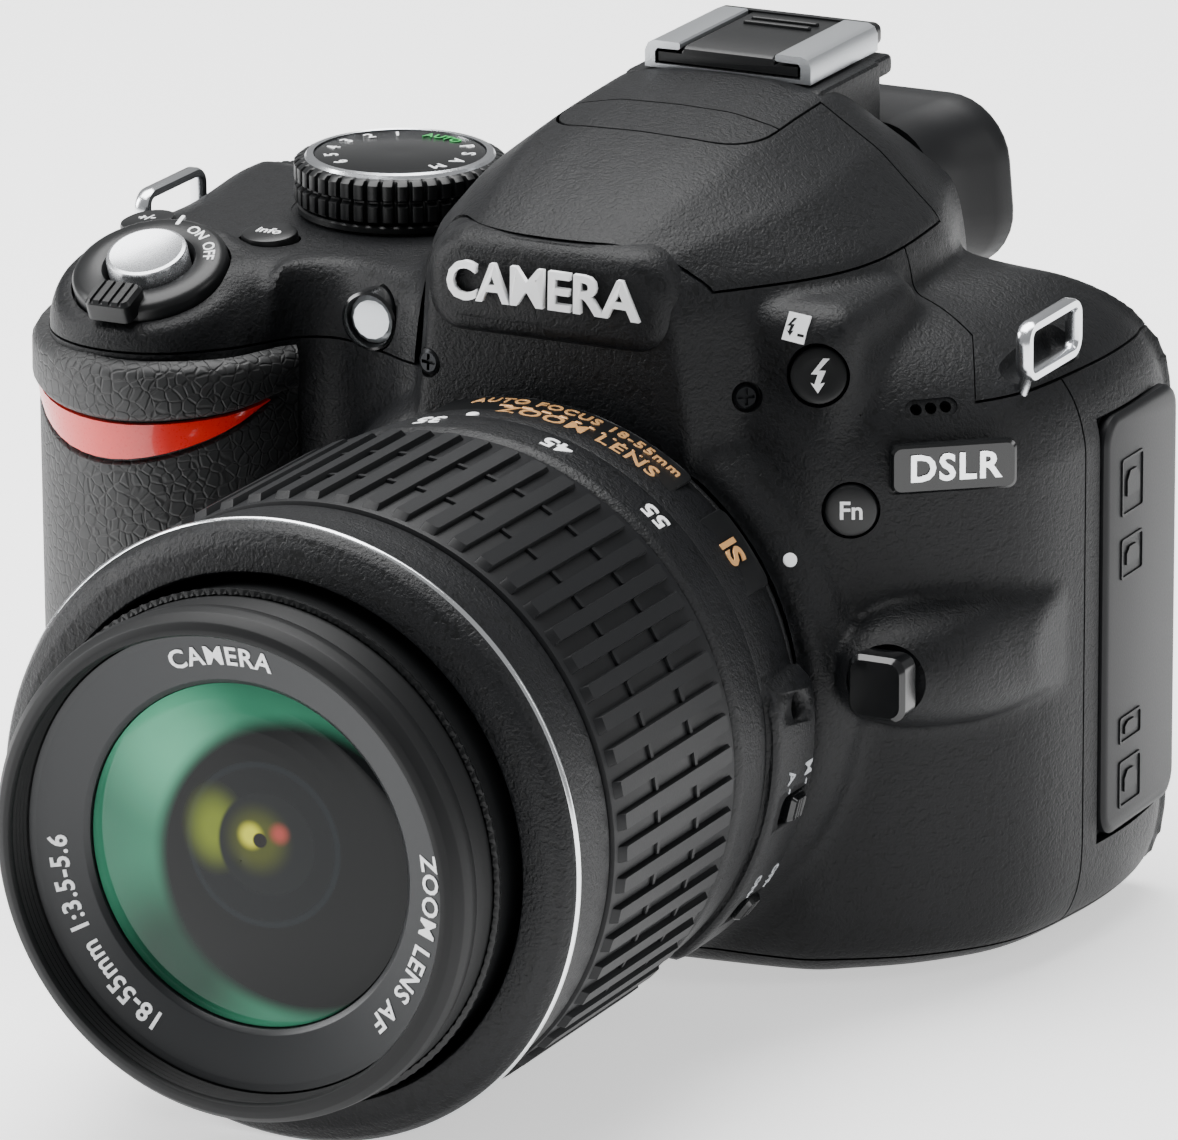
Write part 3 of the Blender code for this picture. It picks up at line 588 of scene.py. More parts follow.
def core_shape():
    plan = [Vector((p.x, min(p.y, 62.0))) for p in flow(PLAN, 5, True)]
    sections = []
    for z, amount in flow([(0.0, 5.2), (1.3, 2.4), (4.0, 0.8), (9.0, 0.1), (14.0, 0.0)], 2):
        sections.append([(p.x, p.y, z) for p in drawn_in(plan, max(0.0, amount), base_rounding)])
    for z, amount in flow([(60.0, 0.0), (65.0, 0.8), (69.5, 2.8), (73.0, 5.8), (75.2, 9.2), (76.0, 13.0)], 3):
        sections.append([(p.x, p.y, z) for p in drawn_in(plan, max(0.0, amount), edge_rounding)])
    return skin("core", sections)


def hump_shape():
    """Cross-sections from the name pad back to the eyepiece: steep sides, two slopes and a flat crown."""
    # y, half widths left and right at the flash head's lower edge, ridge half width and height, crown height
    stations = [
        (2.0, 14.6, 14.6, 8.5, 84.8, 85.6), (8.8, 18.5, 20.6, 10.5, 87.8, 88.8),
        (18.0, 22.5, 27.0, 12.2, 90.4, 91.6),
        (28.0, 24.2, 29.6, 13.0, 92.0, 93.4), (43.0, 24.6, 28.8, 12.6, 93.4, 94.6),
        (50.0, 24.0, 27.0, 12.6, 93.2, 94.2),
        (57.0, 23.0, 24.0, 12.4, 89.5, 90.4), (61.6, 22.0, 22.6, 12.0, 85.0, 86.0)]
    sections = []
    for y, left, right, ridge, ridge_z, top_z in flow(stations, 3):
        def side(half, waist, foot, base):
            return [(0.0, top_z), (ridge * 0.55, top_z - 0.2), (ridge, ridge_z),
                    ((ridge + half) / 2, (ridge_z + 81.5) / 2 + 0.9), (half - 0.6, 81.6),
                    (half + waist, 78.5),
                    (half + foot, 72.0), (half + base, 64.0), (half + base, 60.0)]
        sections.append([(LENS_X + x, y, z) for x, z in side(right, 0.7, 1.6, 2.6)]
                        + [(LENS_X - x, y, z) for x, z in reversed(side(left, 0.5, 1.0, 2.0)[1:])])
    return skin("hump", sections)


def release_bulge():
    """The swelling behind the lens release button, sloping back into the side."""
    stations = [(45.4, 3.4, 8.0, 5.6), (48.0, 2.9, 12.0, 7.4), (53.0, 4.6, 12.0, 7.4),
                (58.0, 11.0, 10.0, 6.8),
                (61.2, 21.0, 8.0, 5.4)]
    sections = []
    for x, front, depth, half_height in flow(stations, 3):
        sections.append([(x, front + depth * (1 - math.cos(a)), LENS_Z + 3.8 + half_height * math.sin(a))
                         for a in (math.radians(-90 + 9 * i) for i in range(21))])
    return skin("bulge", sections)


def mount_collar():
    outline = [(30.0, 2.6), (32.6, 2.6), (33.6, 3.4), (35.2, 6.2), (36.0, 12.0), (30.0, 12.0)]
    return turn("collar", outline, 120, 0.6)


def whole_body():
    """The covers as one form, before the seams: every swelling flows into the next."""
    boss = along("boss", SHUTTER, SHUTTER_AXIS, [
        (-9.0, circle(13.5, 72)), (-3.4, circle(12.6, 72)), (-0.9, circle(11.4, 72)),
        (-0.3, circle(10.6, 72))])
    chin = block("chin", (LENS_X - 15.0, 2.6, 70.0), (LENS_X + 12.6, 12.0, 84.2), 3.0)
    brow = block("brow", (20.0, 8.6, 60.0), (44.0, 30.0, 79.6), 5.0, 5)
    body = join("body", [core_shape(), hump_shape(), release_bulge(), mount_collar(), boss, chin, brow])
    apply_modifier(body, "REMESH", mode="VOXEL", voxel_size=0.75 * MM)
    apply_modifier(body, "SMOOTH", factor=0.5, iterations=9)
    return body


def flash_outline(clearance):
    rear = FLASH_REAR_Y + clearance
    inner = 13.3 - clearance
    front = 24.7 + clearance
    side = 42.0
    outer = [(LENS_X - side, -8.0), (LENS_X + side, -8.0), (LENS_X + side, rear)]
    tongue = soften([(LENS_X + inner, rear), (LENS_X + inner, front), (LENS_X - inner, front),
                     (LENS_X - inner, rear)], 8.0, 10, closed=False)
    return [Vector(p) for p in outer] + tongue + [Vector((LENS_X - side, rear))]


def flash_region(clearance):
    outline = flash_outline(clearance)
    levels = (FLASH_SEAM_Z - clearance, 112.0)
    return skin("flash_region", [[(p.x, p.y, z) for p in outline] for z in levels])


def pad_region(clearance):
    """The room round the name pad, sloping down at its ends."""
    c = clearance
    outline = soften([(-19.0 - c, 50.0), (-19.0 - c, 82.0 + c), (-14.0, 85.6 + c), (8.0, 85.6 + c),
                      (13.5 + c, 84.2 + c), (18.6 + c, 80.9), (18.6 + c, 50.0)], 2.0, 4)
    return skin("pad_region", [[(LENS_X + p.x, y, p.y) for p in outline] for y in (-8.0, 9.6 + c)])


def shoulder_region(clearance):
    """What the front cover takes above the seam: all beside the name pad, as far as the strap lug."""
    c = clearance
    outline = [(-8.3 - c, -12.0), (-8.3 - c, SIDE_SEAM_Y - SEAM / 2 + c), (37.0, SIDE_SEAM_Y - SEAM / 2 + c),
               (50.0, 28.0 + c), (53.6, 21.0 + c), (55.0, 13.0 + c), (70.0, 9.0 + c), (70.0, -12.0)]
    return skin("shoulder", [[(x, y, z) for x, y in outline] for z in (60.0, 112.0)])


# Centres across and up of the monitor, the selector and the live-view lever.
MONITOR_X, MONITOR_Z = 12.75, 34.75
SELECTOR_X, SELECTOR_Z = -38.0, 36.0
LIVE_VIEW_X, LIVE_VIEW_Z = -40.5, 55.6
# Rear buttons: centre across and up, and radius. Others: a point on the face and its outward direction.
REAR_BUTTONS = {
    "playback_button": (55.4, 56.0, 2.9), "menu_button": (55.4, 45.5, 2.9),
    "zoom_out_button": (55.4, 35.0, 2.9),
    "zoom_in_button": (55.4, 24.5, 2.9), "delete_button": (-34.0, 14.5, 2.9),
    "lock_button": (-29.0, 60.0, 2.7)}
TOP_BUTTONS = {
    "exposure_button": (Vector((-51.5, 20.5, 75.6)), Vector((-0.12, -0.1, 1.0))),
    "info_button": (Vector((-35.5, 20.5, 75.9)), Vector((0.0, -0.1, 1.0)))}
FLASH_BUTTON = (Vector((39.4, 10.6, 71.6)), Vector((0.30, -0.92, 0.26)))
FUNCTION_BUTTON = (Vector((43.6, 9.9, 56.8)), Vector((0.45, -0.9, 0.0)))
BADGE = (Vector((53.6, 15.4, 61.6)), Vector((0.62, -0.78, 0.0)))
AF_LAMP = Vector((-17.3, 13.1, 71.0))
RELEASE = Vector((50.4, 3.0, LENS_Z + 3.8))


def pocket(centre, axis, radius, low=-2.4, high=9.0):
    """The cutter for a round hole."""
    return plug(centre, axis, circle(radius), low, high)


def share(body, name, region):
    """The stretch of the body's form that lies inside a region."""
    return combine(copy_of(body, name), region, "INTERSECT")


def slab(low, high, depth=(-12, 70)):
    """A region that takes the whole width between two heights."""
    return block("tool", (-70, depth[0], low), (70, depth[1], high))


def cover_done(cover, node, body="camera_body"):
    return finish(smooth(cover), POLYCARBONATE, body, "body_plastic", node)


def front_cover(body):
    cover = share(body, "front_cover_shell", slab(BASE_SEAM_Z + SEAM, TOP_SEAM_Z,
                                                  (-12, SIDE_SEAM_Y - SEAM / 2)))
    shoulder = share(body, "shoulder", shoulder_region(0.0))
    carve(shoulder, carve(flash_region(SEAM), pad_region(0.0)))
    combine(cover, shoulder, "UNION")
    carve(
        cover,
        block("tool", (-58.5, 8.0, 2.0), (-31.5, 40.0, 64.8)),
        block("tool", (-54.0, 3.5, 2.0), (-34.0, 9.0, 64.8)),
        block("tool", (-32.0, 16.0, 7.0), (44.0, 40.0, 64.8)),
        block("tool", (40.0, 24.0, 7.0), (52.0, 40.0, 64.8)),
        block("tool", (-12.0, 9.8, 7.0), (36.0, 20.0, 64.8)),
        block("tool", (LENS_X - 19.0, 12.5, 60.0), (LENS_X + 19.0, 40.0, 69.0)),
        plug((LENS_X, 0, LENS_Z), (0, 1, 0), circle(30.8, 160), -8.0, 30.0),
        pocket(*FUNCTION_BUTTON, 3.3), pocket(RELEASE, (0, -1, 0), 4.2, -3.6),
        plug(*BADGE, rounded_rect(7.6, 3.1, 1.2), -0.9, 6.0))
    carve(cover, pocket(*FLASH_BUTTON, 3.6))
    build_microphone(cover)
    for spot, out in SCREWS:
        carve(cover, pocket(spot, out, 1.75, -0.9, 5.0))
    cover_done(cover, "front_cover")


def rear_cover(body):
    behind_seam = (SIDE_SEAM_Y + SEAM / 2, 70)
    cover = share(body, "rear_cover_shell", slab(BASE_SEAM_Z + SEAM, TOP_SEAM_Z, behind_seam))
    combine(cover, block("bezel", (-23.5, 56.0, 7.0), (49.0, 63.6, 62.5), 1.4), "UNION")
    carve(
        cover, block("tool", (-58.5, 30.0, 2.0), (58.5, 57.0, 64.8)),
        block("tool", (-21.3, 61.9, 9.2), (46.8, 66.0, 60.3)),
        block("tool", (60.5, 37.2, 11.7), (66.0, 58.0, 62.3)),
        block("tool", (-66.0, 37.5, 19.7), (-60.5, 57.3, 52.3)),
        block("tool", (-66.0, 48.0, 23.0), (-56.0, 52.4, 49.0)),
        pocket((SELECTOR_X, 59.6, SELECTOR_Z), (0, 1, 0), 12.2, -0.4),
        pocket((LIVE_VIEW_X, 60.0, LIVE_VIEW_Z), (0, 1, 0), 6.5, -0.4),
        block("tool", (-59.6, 60.6, 40.0), (-50.5, 66.0, 63.0)),
        block("tool", (LENS_X - 19.0, 30.0, 60.0), (LENS_X + 19.0, 56.0, 69.0)))
    for x, z, radius in REAR_BUTTONS.values():
        carve(cover, pocket((x, 60.2, z), (0, 1, 0), radius + SEAM, -0.4))
    cover_done(cover, "rear_cover")


def bottom_cover(body):
    cover = share(body, "bottom_cover_shell", slab(-1, BASE_SEAM_Z))
    carve(cover, block("tool", (-55.9, 9.3, -1.0), (-40.5, 48.9, 5.0)),
          plug((LENS_X, 40.0, 0.0), (0, 0, 1), circle(6.5), -1.0, 5.0))
    cover_done(cover, "bottom_cover")


def over_lens(name, half_width, depth, height, bevel=0.0):
    """A block centred over the lens."""
    low, high = zip(depth, height)
    return block(name, (LENS_X - half_width, *low), (LENS_X + half_width, *high), bevel)


def top_cover(body):
    cover = share(body, "top_cover_shell", slab(TOP_SEAM_Z + SEAM, 112))
    combine(cover, over_lens("platform", 12.6, (46.0, 62.2), (84.0, SHOE_Z - SEAM), 0.8), "UNION")
    combine(cover, over_lens("overhang", 12.0, (60.0, 66.6), (91.4, SHOE_Z - SEAM - 0.1), 0.8), "UNION")
    # Room for the pad, then the hollow inside, the prism, the eyepiece and the shoe.
    hollows = [
        over_lens("tool", 20.0, (-8.0, 10.4), (60.0, 90.0)),
        block("tool", (-53.0, 18.0, 60.0), (44.0, 56.0, 71.0)),
        over_lens("tool", 18.0, (13.0, 58.0), (60.0, 78.0)),
        over_lens("tool", 10.8, (27.0, 58.0), (60.0, 88.5)),
        over_lens("tool", 11.0, (50.0, 70.0), (71.5, 84.0)),
        over_lens("tool", 11.0, (47.1, 70.0), (SHOE_Z - SEAM, 101.0))]
    carve(
        cover, shoulder_region(SEAM), flash_region(SEAM), *hollows,
        pocket(SHUTTER, SHUTTER_AXIS, 9.4, -2.0, 14.0), pocket(SHUTTER, SHUTTER_AXIS, 5.2, -4.2, 14.0),
        pocket((DIAL.x, DIAL.y, 0), (0, 0, 1), 12.8, 75.9, 100.0),
        pocket(AF_LAMP + Vector((0, 0.3, 0)), (0, -1, 0), 3.7, 0.0, 14.0),
        block("tool", (-58.0, 45.7, 68.9), (-41.9, 70.0, 74.3)),
        block("tool", (53.8, 25.2, 68.4), (75.0, 40.8, 90.0), 2.6, 6),
        block("tool", (-75.0, 30.2, 69.2), (-55.4, 46.2, 90.0), 2.6, 6))
    for spot in TOP_BUTTONS.values():
        carve(cover, pocket(*spot, 3.6))
    cover_done(cover, "top_cover")


def flash_cover(body):
    cover = share(body, "flash_head_shell", flash_region(0.0))
    carve(cover, pad_region(SEAM), pocket((DIAL.x, DIAL.y, 0), (0, 0, 1), 13.2, 70.0, 100.0),
          over_lens("tool", 9.0, (13.0, 24.0), (60.0, 84.0)))
    cover_done(cover, "flash_head", "flash_head")


def name_pad():
    """The maker's pad over the lens: a crowned bar with rolled edges and raised white letters."""
    centre = Vector((LENS_X, -0.6, 80.4))
    sections = []
    for depth, inset in ((-4.6, 0.0), (-2.8, 0.0), (-1.5, 0.3), (-0.6, 0.9), (-0.15, 1.8), (0.0, 3.0)):
        outline = []
        for x, z in rounded_rect(15.8 - inset, 5.9 - inset * 0.75, 4.9 - inset * 0.75, 12):
            back = centre.y - depth + 0.009 * x * x + 0.03 * max(0.0, z) ** 2
            outline.append((centre.x + x, back, centre.z + z - 0.004 * x * x))
        sections.append(outline)
    pad = smooth(skin("name_pad", sections), 40)
    finish(pad, POLYCARBONATE, "camera_body", "body_plastic")
    text = lettering("name_letters", "CAMERA", 6.1, lambda x, y, h: (
        LENS_X + x, centre.y + 0.009 * x * x + 0.03 * max(0.0, y) ** 2 - h - 0.25,
        centre.z + 0.3 + y - 0.004 * x * x), 0.35, 0.13, 1.0)
    finish(text, WHITE_PRINT, "camera_body", "smooth_plastic")


def grip_line():
    plan = [p for p in flow(PLAN, 5, True) if p.x < -25.5 and p.y < 31.0]
    path = []
    for i in range(1, len(plan) - 1):
        tangent = (plan[i + 1] - plan[i - 1]).normalized()
        path.append((plan[i], Vector((-tangent.y, tangent.x))))
    return path


def accent_band(t):
    """Lower and upper edge of the red flash at a share of the way round the grip."""
    share = max(0.0, min(1.0, (t - 0.10) / 0.78))
    upper = 61.6 - 2.0 * math.sin(math.pi * share) ** 0.8
    lower = upper - 4.4 * math.sin(math.pi * share) ** 1.2
    return lower, upper


def grip_skin():
    """The leather-grained skin, rolled at its ends, with a groove for the red flash."""
    path = grip_line()
    count = len(path)
    sections = []
    for i, (point, out) in enumerate(path):
        t = i / (count - 1)
        lift = 1.35 * min(1.0, math.sin(math.pi * max(0.02, min(0.98, t))) * 6)
        lower, upper = accent_band(t)
        inside = 0.15
        face = [(inside, 4.6), (lift * 0.75, 4.7), (lift, 5.4), (lift, 30.0), (lift, lower - 1.2),
                (lift - 0.1, lower - 0.7),
                (0.55, lower - 0.35), (0.5, upper + 0.35), (lift + 0.35, upper + 0.5),
                (lift + 0.8, upper + 1.1),
                (lift + 0.75, 65.6), (lift + 0.2, 66.5), (inside, 66.9)]
        sections.append([(point.x + out.x * d, point.y + out.y * d, z) for d, z in face])
    piece = smooth(skin("grip_rubber_skin", sections), 50)
    finish(piece, GRIP_RUBBER, "camera_body", "grip_rubber", "grip_rubber")


def red_flash():
    path = grip_line()
    count = len(path)
    chosen = [i for i in range(count) if 0.10 <= i / (count - 1) <= 0.88]
    sections = []
    for i in chosen:
        point, out = path[i]
        lower, upper = accent_band(i / (count - 1))
        lower = min(lower, upper - 0.1)
        sections.append([(point.x + out.x * d, point.y + out.y * d, z) for d, z in
                         ((0.7, lower), (1.25, lower + 0.05), (1.5, lower + (upper - lower) * 0.5),
                          (1.45, upper - 0.03), (0.7, upper))])
    piece = smooth(skin("red_flash", sections), 50)
    finish(piece, RED_PLASTIC, "camera_body", "red_plastic", "grip_accent")


def on_skin(body, x, z):
    """Where a line from the front, at this place across and up, meets the covers, and their facing there."""
    _, point, normal, _ = body.ray_cast(Vector((x, -40.0, z)) * MM, Vector((0.0, 1.0, 0.0)))
    return point / MM, normal.copy()


def build_microphone(cover):
    """Three sound holes in a shallow stadium-shaped recess over the badge."""
    centre, out = MICROPHONE
    carve(cover, plug(centre, out, rounded_rect(3.1, 1.05, 1.0), -0.35, 4.0))
    turned = out.to_track_quat("Z", "Y").to_matrix()
    for k in (-1.75, 0.0, 1.75):
        carve(cover, pocket(centre + turned @ Vector((k, 0, 0)), out, 0.68, -2.2, 6.0))


BODY = whole_body()
# Where things sit on the front: a point on the covers and the way they face there.
SCREWS = [on_skin(BODY, 31.8, 68.9), on_skin(BODY, -5.5, 69.7)]
MICROPHONE = on_skin(BODY, 50.2, 67.6)
FLASH_SIGN = on_skin(BODY, 37.2, 77.2)
MOUNT_DOT = on_skin(BODY, 39.1, 52.0)
for build_cover in (front_cover, rear_cover, bottom_cover, top_cover, flash_cover):
    build_cover(BODY)
bpy.data.objects.remove(BODY)
name_pad()
grip_skin()
red_flash()


# ---------------------------------------------------------------- the zoom lens

# Degrees round the barrel, from the top towards +X, of its two switches.
FOCUS_SWITCH = 104.0
STABILISER_SWITCH = 127.0


def on_barrel(radius, y, degrees):
    """A point on the barrel and its outward direction; degrees run from the top towards +X."""
    angle = math.radians(degrees)
    out = Vector((math.sin(angle), 0.0, math.cos(angle)))
    return Vector((LENS_X, y, LENS_Z)) + out * radius, out


def curved_plate(name, radius, y_from, y_to, start, end, low, high, corner=1.0):
    """A thin plate wrapped round the barrel between two angles, with rounded corners."""
    half_width = math.radians((end - start) / 2) * radius
    half_length = abs(y_to - y_from) / 2
    place = round_the_lens(radius, (y_from + y_to) / 2, (start + end) / 2)
    sections = []
    for height, inset in ((low, 0.0), (high - 0.15, 0.0), (high, 0.15)):
        outline = rounded_rect(half_width - inset, half_length - inset, corner, 4)
        sections.append(bent([Vector(place(x, y, height)) for x, y in outline]))
    return smooth(skin(name, sections))


def bent(outline):
    """Add points along the straight sides so that they follow the barrel's curve."""
    points = []
    for here, after in zip(outline, outline[1:] + outline[:1]):
        points.append(here)
        gap = (after - here).length
        if gap > 1.6:
            pieces = int(gap / 0.8)
            reach = (here - Vector((LENS_X, here.y, LENS_Z))).length
            for k in range(1, pieces):
                flat = here.lerp(after, k / pieces)
                axis = Vector((LENS_X, flat.y, LENS_Z))
                points.append(axis + (flat - axis).normalized() * reach)
    return points


def build_barrel():
    barrel = turn("lens_barrel_shell", [
        (30.0, 1.25), (31.6, 0.6), (32.6, -3.0), (33.3, -7.5), (33.6, -12.0), (28.4, -12.0), (28.4, -3.0),
        (20.0, -3.0), (20.0, 1.25)], 160, 0.3)
    groove = turn("tool", [(36.0, -1.0), (36.0, -1.35), (31.9, -1.35), (31.9, -1.0)], 160, 0.02)
    carve(barrel, groove)
    panel = side_panel()
    combine(barrel, panel, "UNION")
    for degrees in FOCUS_SWITCH, STABILISER_SWITCH:
        centre, out = on_barrel(34.2, -5.6, degrees)
        carve(barrel, plug(centre, out, rounded_rect(3.5, 1.9, 1.2), -SEAM, 4.0))
    screw, out = on_barrel(34.0, -6.2, 84.5)
    carve(barrel, plug(screw, out, circle(1.7, 32), -1.0, 4.0))
    finish(barrel, BARREL_PLASTIC, "lens_body", "body_plastic", "lens_barrel")
    head = screw_head("panel_screw", screw, out, (-1.2, -0.5, -0.25), (1.25, 1.25, 0.9), 32, (0.16, 0.8),
                      0.05, -0.7)
    finish(head, BLACK_STEEL, "lens_body", "dark_metal")
    # Gilt name plates: sunk dark panels with a fine raised rim.
    for name, start, end in (("maker_plate", -18.0, 37.0), ("series_plate", 44.5, 62.0)):
        plate = curved_plate(name, 33.0, -1.9, -9.6, start, end, -0.6, 0.32, 0.9)
        finish(plate, SATIN_ABS, "lens_body", "smooth_plastic")
    for words, size, y, degrees in (("ZOOM LENS", 3.3, -7.2, 15.0), ("AUTO FOCUS 18-55mm", 2.3, -3.7, 12.0)):
        printed("plate_text", words, size,
                round_the_lens(33.25, y, degrees), GOLD_PRINT, "lens_body", 0.1, 0.05, 1.15)
    printed("series_text", "IS", 4.6, round_the_lens(33.25, -5.8, 53.0), GOLD_PRINT, "lens_body", 0.1, 0.12)
    for i in range(12):
        width = 2.2 * 0.86 ** i
        start = -4.0 + sum(2.2 * 0.86 ** k + 0.55 for k in range(i)) * 1.75
        dash = curved_plate("gilt_dash", 33.25, -5.45, -5.8, start, start + width * 1.4, 0.0, 0.18, 0.1)
        finish(dash, GOLD_PRINT, "lens_body", "smooth_plastic")
    dot_centre, out = on_barrel(33.5, -10.9, -5.0)
    dot = button_shape("zoom_index_dot", dot_centre, out, 0.75, -0.4, 0.2, count=32)
    finish(dot, WHITE_PRINT, "lens_body", "smooth_plastic")


def side_panel():
    """The raised panel that carries the two lens switches, swelling out of the barrel."""
    sections = []
    for y, inset in ((-1.4, 1.2), (-1.7, 0.5), (-2.4, 0.0), (-10.6, 0.0), (-11.3, 0.5), (-11.6, 1.2)):
        outline = []
        spread = [78.0 + inset * 1.6 + (143.0 - 78.0 - inset * 3.2) * i / 30 for i in range(31)]
        for degrees in spread:
            edge = min(degrees - spread[0], spread[-1] - degrees)
            rise = 35.0 - inset * 0.5 - 1.4 * max(0.0, 1 - edge / 4.0) ** 2
            outline.append(on_barrel(rise, y, degrees)[0])
        for degrees in reversed(spread):
            outline.append(on_barrel(30.5, y, degrees)[0])
        sections.append(outline)
    return smooth(skin("switch_panel", sections))


def build_lens_switches():
    switches = ((FOCUS_SWITCH, "focus_mode_switch", ("A", "M")),
                (STABILISER_SWITCH, "stabiliser_switch", ("ON", "OFF")))
    for degrees, node, words in switches:
        centre, out = on_barrel(34.2, -5.6, degrees)
        knob = along(node + "_knob", centre, out, [
            (0.0, rounded_rect(1.7, 1.6, 0.6)), (1.1, rounded_rect(1.7, 1.6, 0.6)),
            (1.6, rounded_rect(1.3, 1.3, 0.5))])
        for k in (-0.6, 0.0, 0.6):
            groove = [(x + k, y) for x, y in rounded_rect(0.14, 1.2, 0.05)]
            carve(knob, plug(centre, out, groove, 1.2, 3.0))
        finish(knob, GLOSS_ABS, node, "smooth_plastic", node)
        for k, word in enumerate(words):
            y = -7.6 + 4.2 * k
            printed("switch_letter", word, 2.3 if len(word) == 1 else 1.7,
                    round_the_lens(35.02, y, degrees - 6.6), GREY_PRINT, "lens_body", 0.06, 0.05)
            tick = curved_plate("switch_tick", 35.0, y - 0.15, y + 0.15, degrees - 4.6, degrees - 3.2, -0.2,
                                0.1, 0.05)
            finish(tick, GREY_PRINT, "lens_body", "smooth_plastic")


def rib(name, radius, degrees, y_from, y_to, half_width, rise, ramp):
    """One bar moulded along the band, with sloping ends and a slightly narrowed top."""
    centre, out = on_barrel(radius, (y_from + y_to) / 2, degrees)
    half = abs(y_from - y_to) / 2
    return along(name, centre, out, [
        (-0.5, rounded_rect(half, half_width, 0.3, 2)), (0.0, rounded_rect(half, half_width, 0.3, 2)),
        (rise, rounded_rect(half - ramp, half_width - 0.12, 0.25, 2))])


def copies_round_lens(piece, count):
    """Copy a finished detail evenly all round the lens axis."""
    centre = Vector((LENS_X, 0, LENS_Z)) * MM
    made = [piece]
    for i in range(1, count):
        clone = copy_of(piece, piece.name + "_copy")
        turning = (Matrix.Translation(centre) @ Matrix.Rotation(math.radians(360 / count * i), 4, "Y")
                   @ Matrix.Translation(-centre))
        clone.data.transform(turning)
        made.append(clone)
    return join(piece.name, made)


def build_zoom_ring():
    ring = turn("zoom_ring_shell", [
        (33.9, -12.3), (34.1, -16.0), (34.35, -19.0), (33.9, -20.3), (33.0, -20.5), (33.0, -50.3),
        (33.9, -50.5),
        (34.1, -55.0), (34.5, -58.6), (34.9, -59.4), (34.9, -60.5), (34.2, -61.6), (32.6, -62.6),
        (29.9, -63.2),
        (29.6, -62.6), (29.6, -60.2), (31.4, -58.5), (31.4, -12.3)], 180, 0.3)
    finish(ring, BARREL_PLASTIC, "zoom_body", "smooth_plastic", "zoom_ring")
    line = turn("bright_line", [(34.95, -59.55), (35.15, -59.75), (35.15, -60.05), (34.9, -60.3),
                                (34.3, -60.3),
                                (34.3, -59.55)], 180, 0.06)
    finish(line, BRIGHT_LINE, "zoom_body", "silver_metal")
    for words, degrees in (("18", -64.0), ("24", -36.0), ("35", -10.0), ("45", 16.7), ("55", 39.9)):
        printed("focal_length", words, 3.6,
                round_the_lens(34.1, -15.3, degrees, False), WHITE_PRINT, "zoom_body", 0.08, 0.08)


def build_zoom_band():
    band = turn("zoom_band", [(33.2, -20.6), (34.2, -20.8), (34.2, -50.0), (33.2, -50.2), (32.9, -50.2),
                              (32.9, -20.6)], 180, 0.15)
    count = 60
    long_rib = rib("band_ribs", 34.2, 1.5, -22.0, -49.2, 0.98, 0.72, 0.75)
    ribs = copies_round_lens(long_rib, count)
    bars = []
    for k, y in enumerate((-30.5, -40.0)):
        centre, out = on_barrel(34.2, y, 1.5 + 180 / count)
        bars.append(along("band_bars", centre, out, [
            (-0.4, rounded_rect(0.42, 0.86, 0.1, 2)), (0.0, rounded_rect(0.42, 0.86, 0.1, 2)),
            (0.34, rounded_rect(0.3, 0.8, 0.1, 2))]))
    bars = copies_round_lens(join("band_bars", bars), count)
    finish(band, BAND_RUBBER, "zoom_body", "grip_rubber", "zoom_rubber")
    finish(ribs, BAND_RUBBER, "zoom_body", "grip_rubber")
    finish(bars, BAND_RUBBER, "zoom_body", "grip_rubber")


def build_front_group():
    tube = turn("inner_tube", [(27.4, -8.0), (27.4, -56.4), (25.8, -56.4), (25.8, -8.0)], 128, 0.2)
    finish(tube, SATIN_ABS, "inner_barrel", "smooth_plastic", "inner_barrel")
    ring = turn("focus_ring_shell", [(28.3, -56.8), (28.3, -71.9), (27.3, -71.9), (27.3, -56.8)], 160, 0.15)
    finish(ring, MATT_ABS, "focus_body", "smooth_plastic", "focus_ring")
    ridge = rib("focus_ridges", 28.3, 0.0, -62.6, -70.6, 0.33, 0.55, 0.35)
    ridges = copies_round_lens(ridge, 132)
    finish(ridges, SATIN_ABS, "focus_body", "smooth_plastic")
    thread = []
    for i in range(5):
        y = -74.4 + 0.75 * i
        thread += [(25.9, y), (26.25, y + 0.38)]
    bezel = turn("front_bezel_shell", [
        (28.5, -70.9), (28.6, -72.2), (28.4, -73.6), (27.6, -74.7), (26.8, -75.0), (26.2, -75.0)] + thread + [
        (25.7, -70.6), (19.6, -69.4), (19.3, -69.0), (19.3, -66.2), (24.0, -66.2), (26.8, -67.0),
        (27.1, -70.9)],
        160, 0.12)
    finish(bezel, MATT_ABS, "focus_body", "smooth_plastic", "front_bezel")
    plate = turn("name_ring", [(25.75, -70.75), (25.75, -71.3), (25.0, -71.0), (19.9, -69.75),
                               (19.3, -69.2), (19.3, -68.9)],
                 160, 0.08)
    finish(plate, NAME_RING, "focus_body", "smooth_plastic")
    ring_words = (("CAMERA", 3.0, -6.0), ("ZOOM LENS AF", 2.9, 108.0), ("18-55mm 1:3.5-5.6", 2.9, -122.0))
    for words, size, degrees in ring_words:
        printed("name_ring_text", words, size,
                on_name_ring(22.6, degrees), WHITE_PRINT, "focus_body", 0.05, 0.06, 1.1)
    build_glass()


def on_name_ring(radius, degrees):
    """Text on the ring round the glass, its feet towards the glass, read from the front."""
    def place(x, y, h):
        angle = math.radians(degrees) + x / radius
        reach = radius + y
        depth = -69.75 - (reach - 19.9) * 0.245 - h - 0.05
        return (LENS_X + reach * math.sin(angle), depth, LENS_Z + reach * math.cos(angle))
    return place


def build_glass():
    """A shallow dome, highest in the middle."""
    dome = [(0.05, -70.7)]
    for i in range(1, 13):
        reach = 19.2 * i / 12
        dome.append((reach, -70.7 + 1.9 * (reach / 19.2) ** 2))
    glass = turn("front_element", dome + [(19.2, -66.4), (0.05, -66.4)], 160, 0.05)
    finish(glass, OPTIC, "focus_body", "coated_glass", "front_glass")


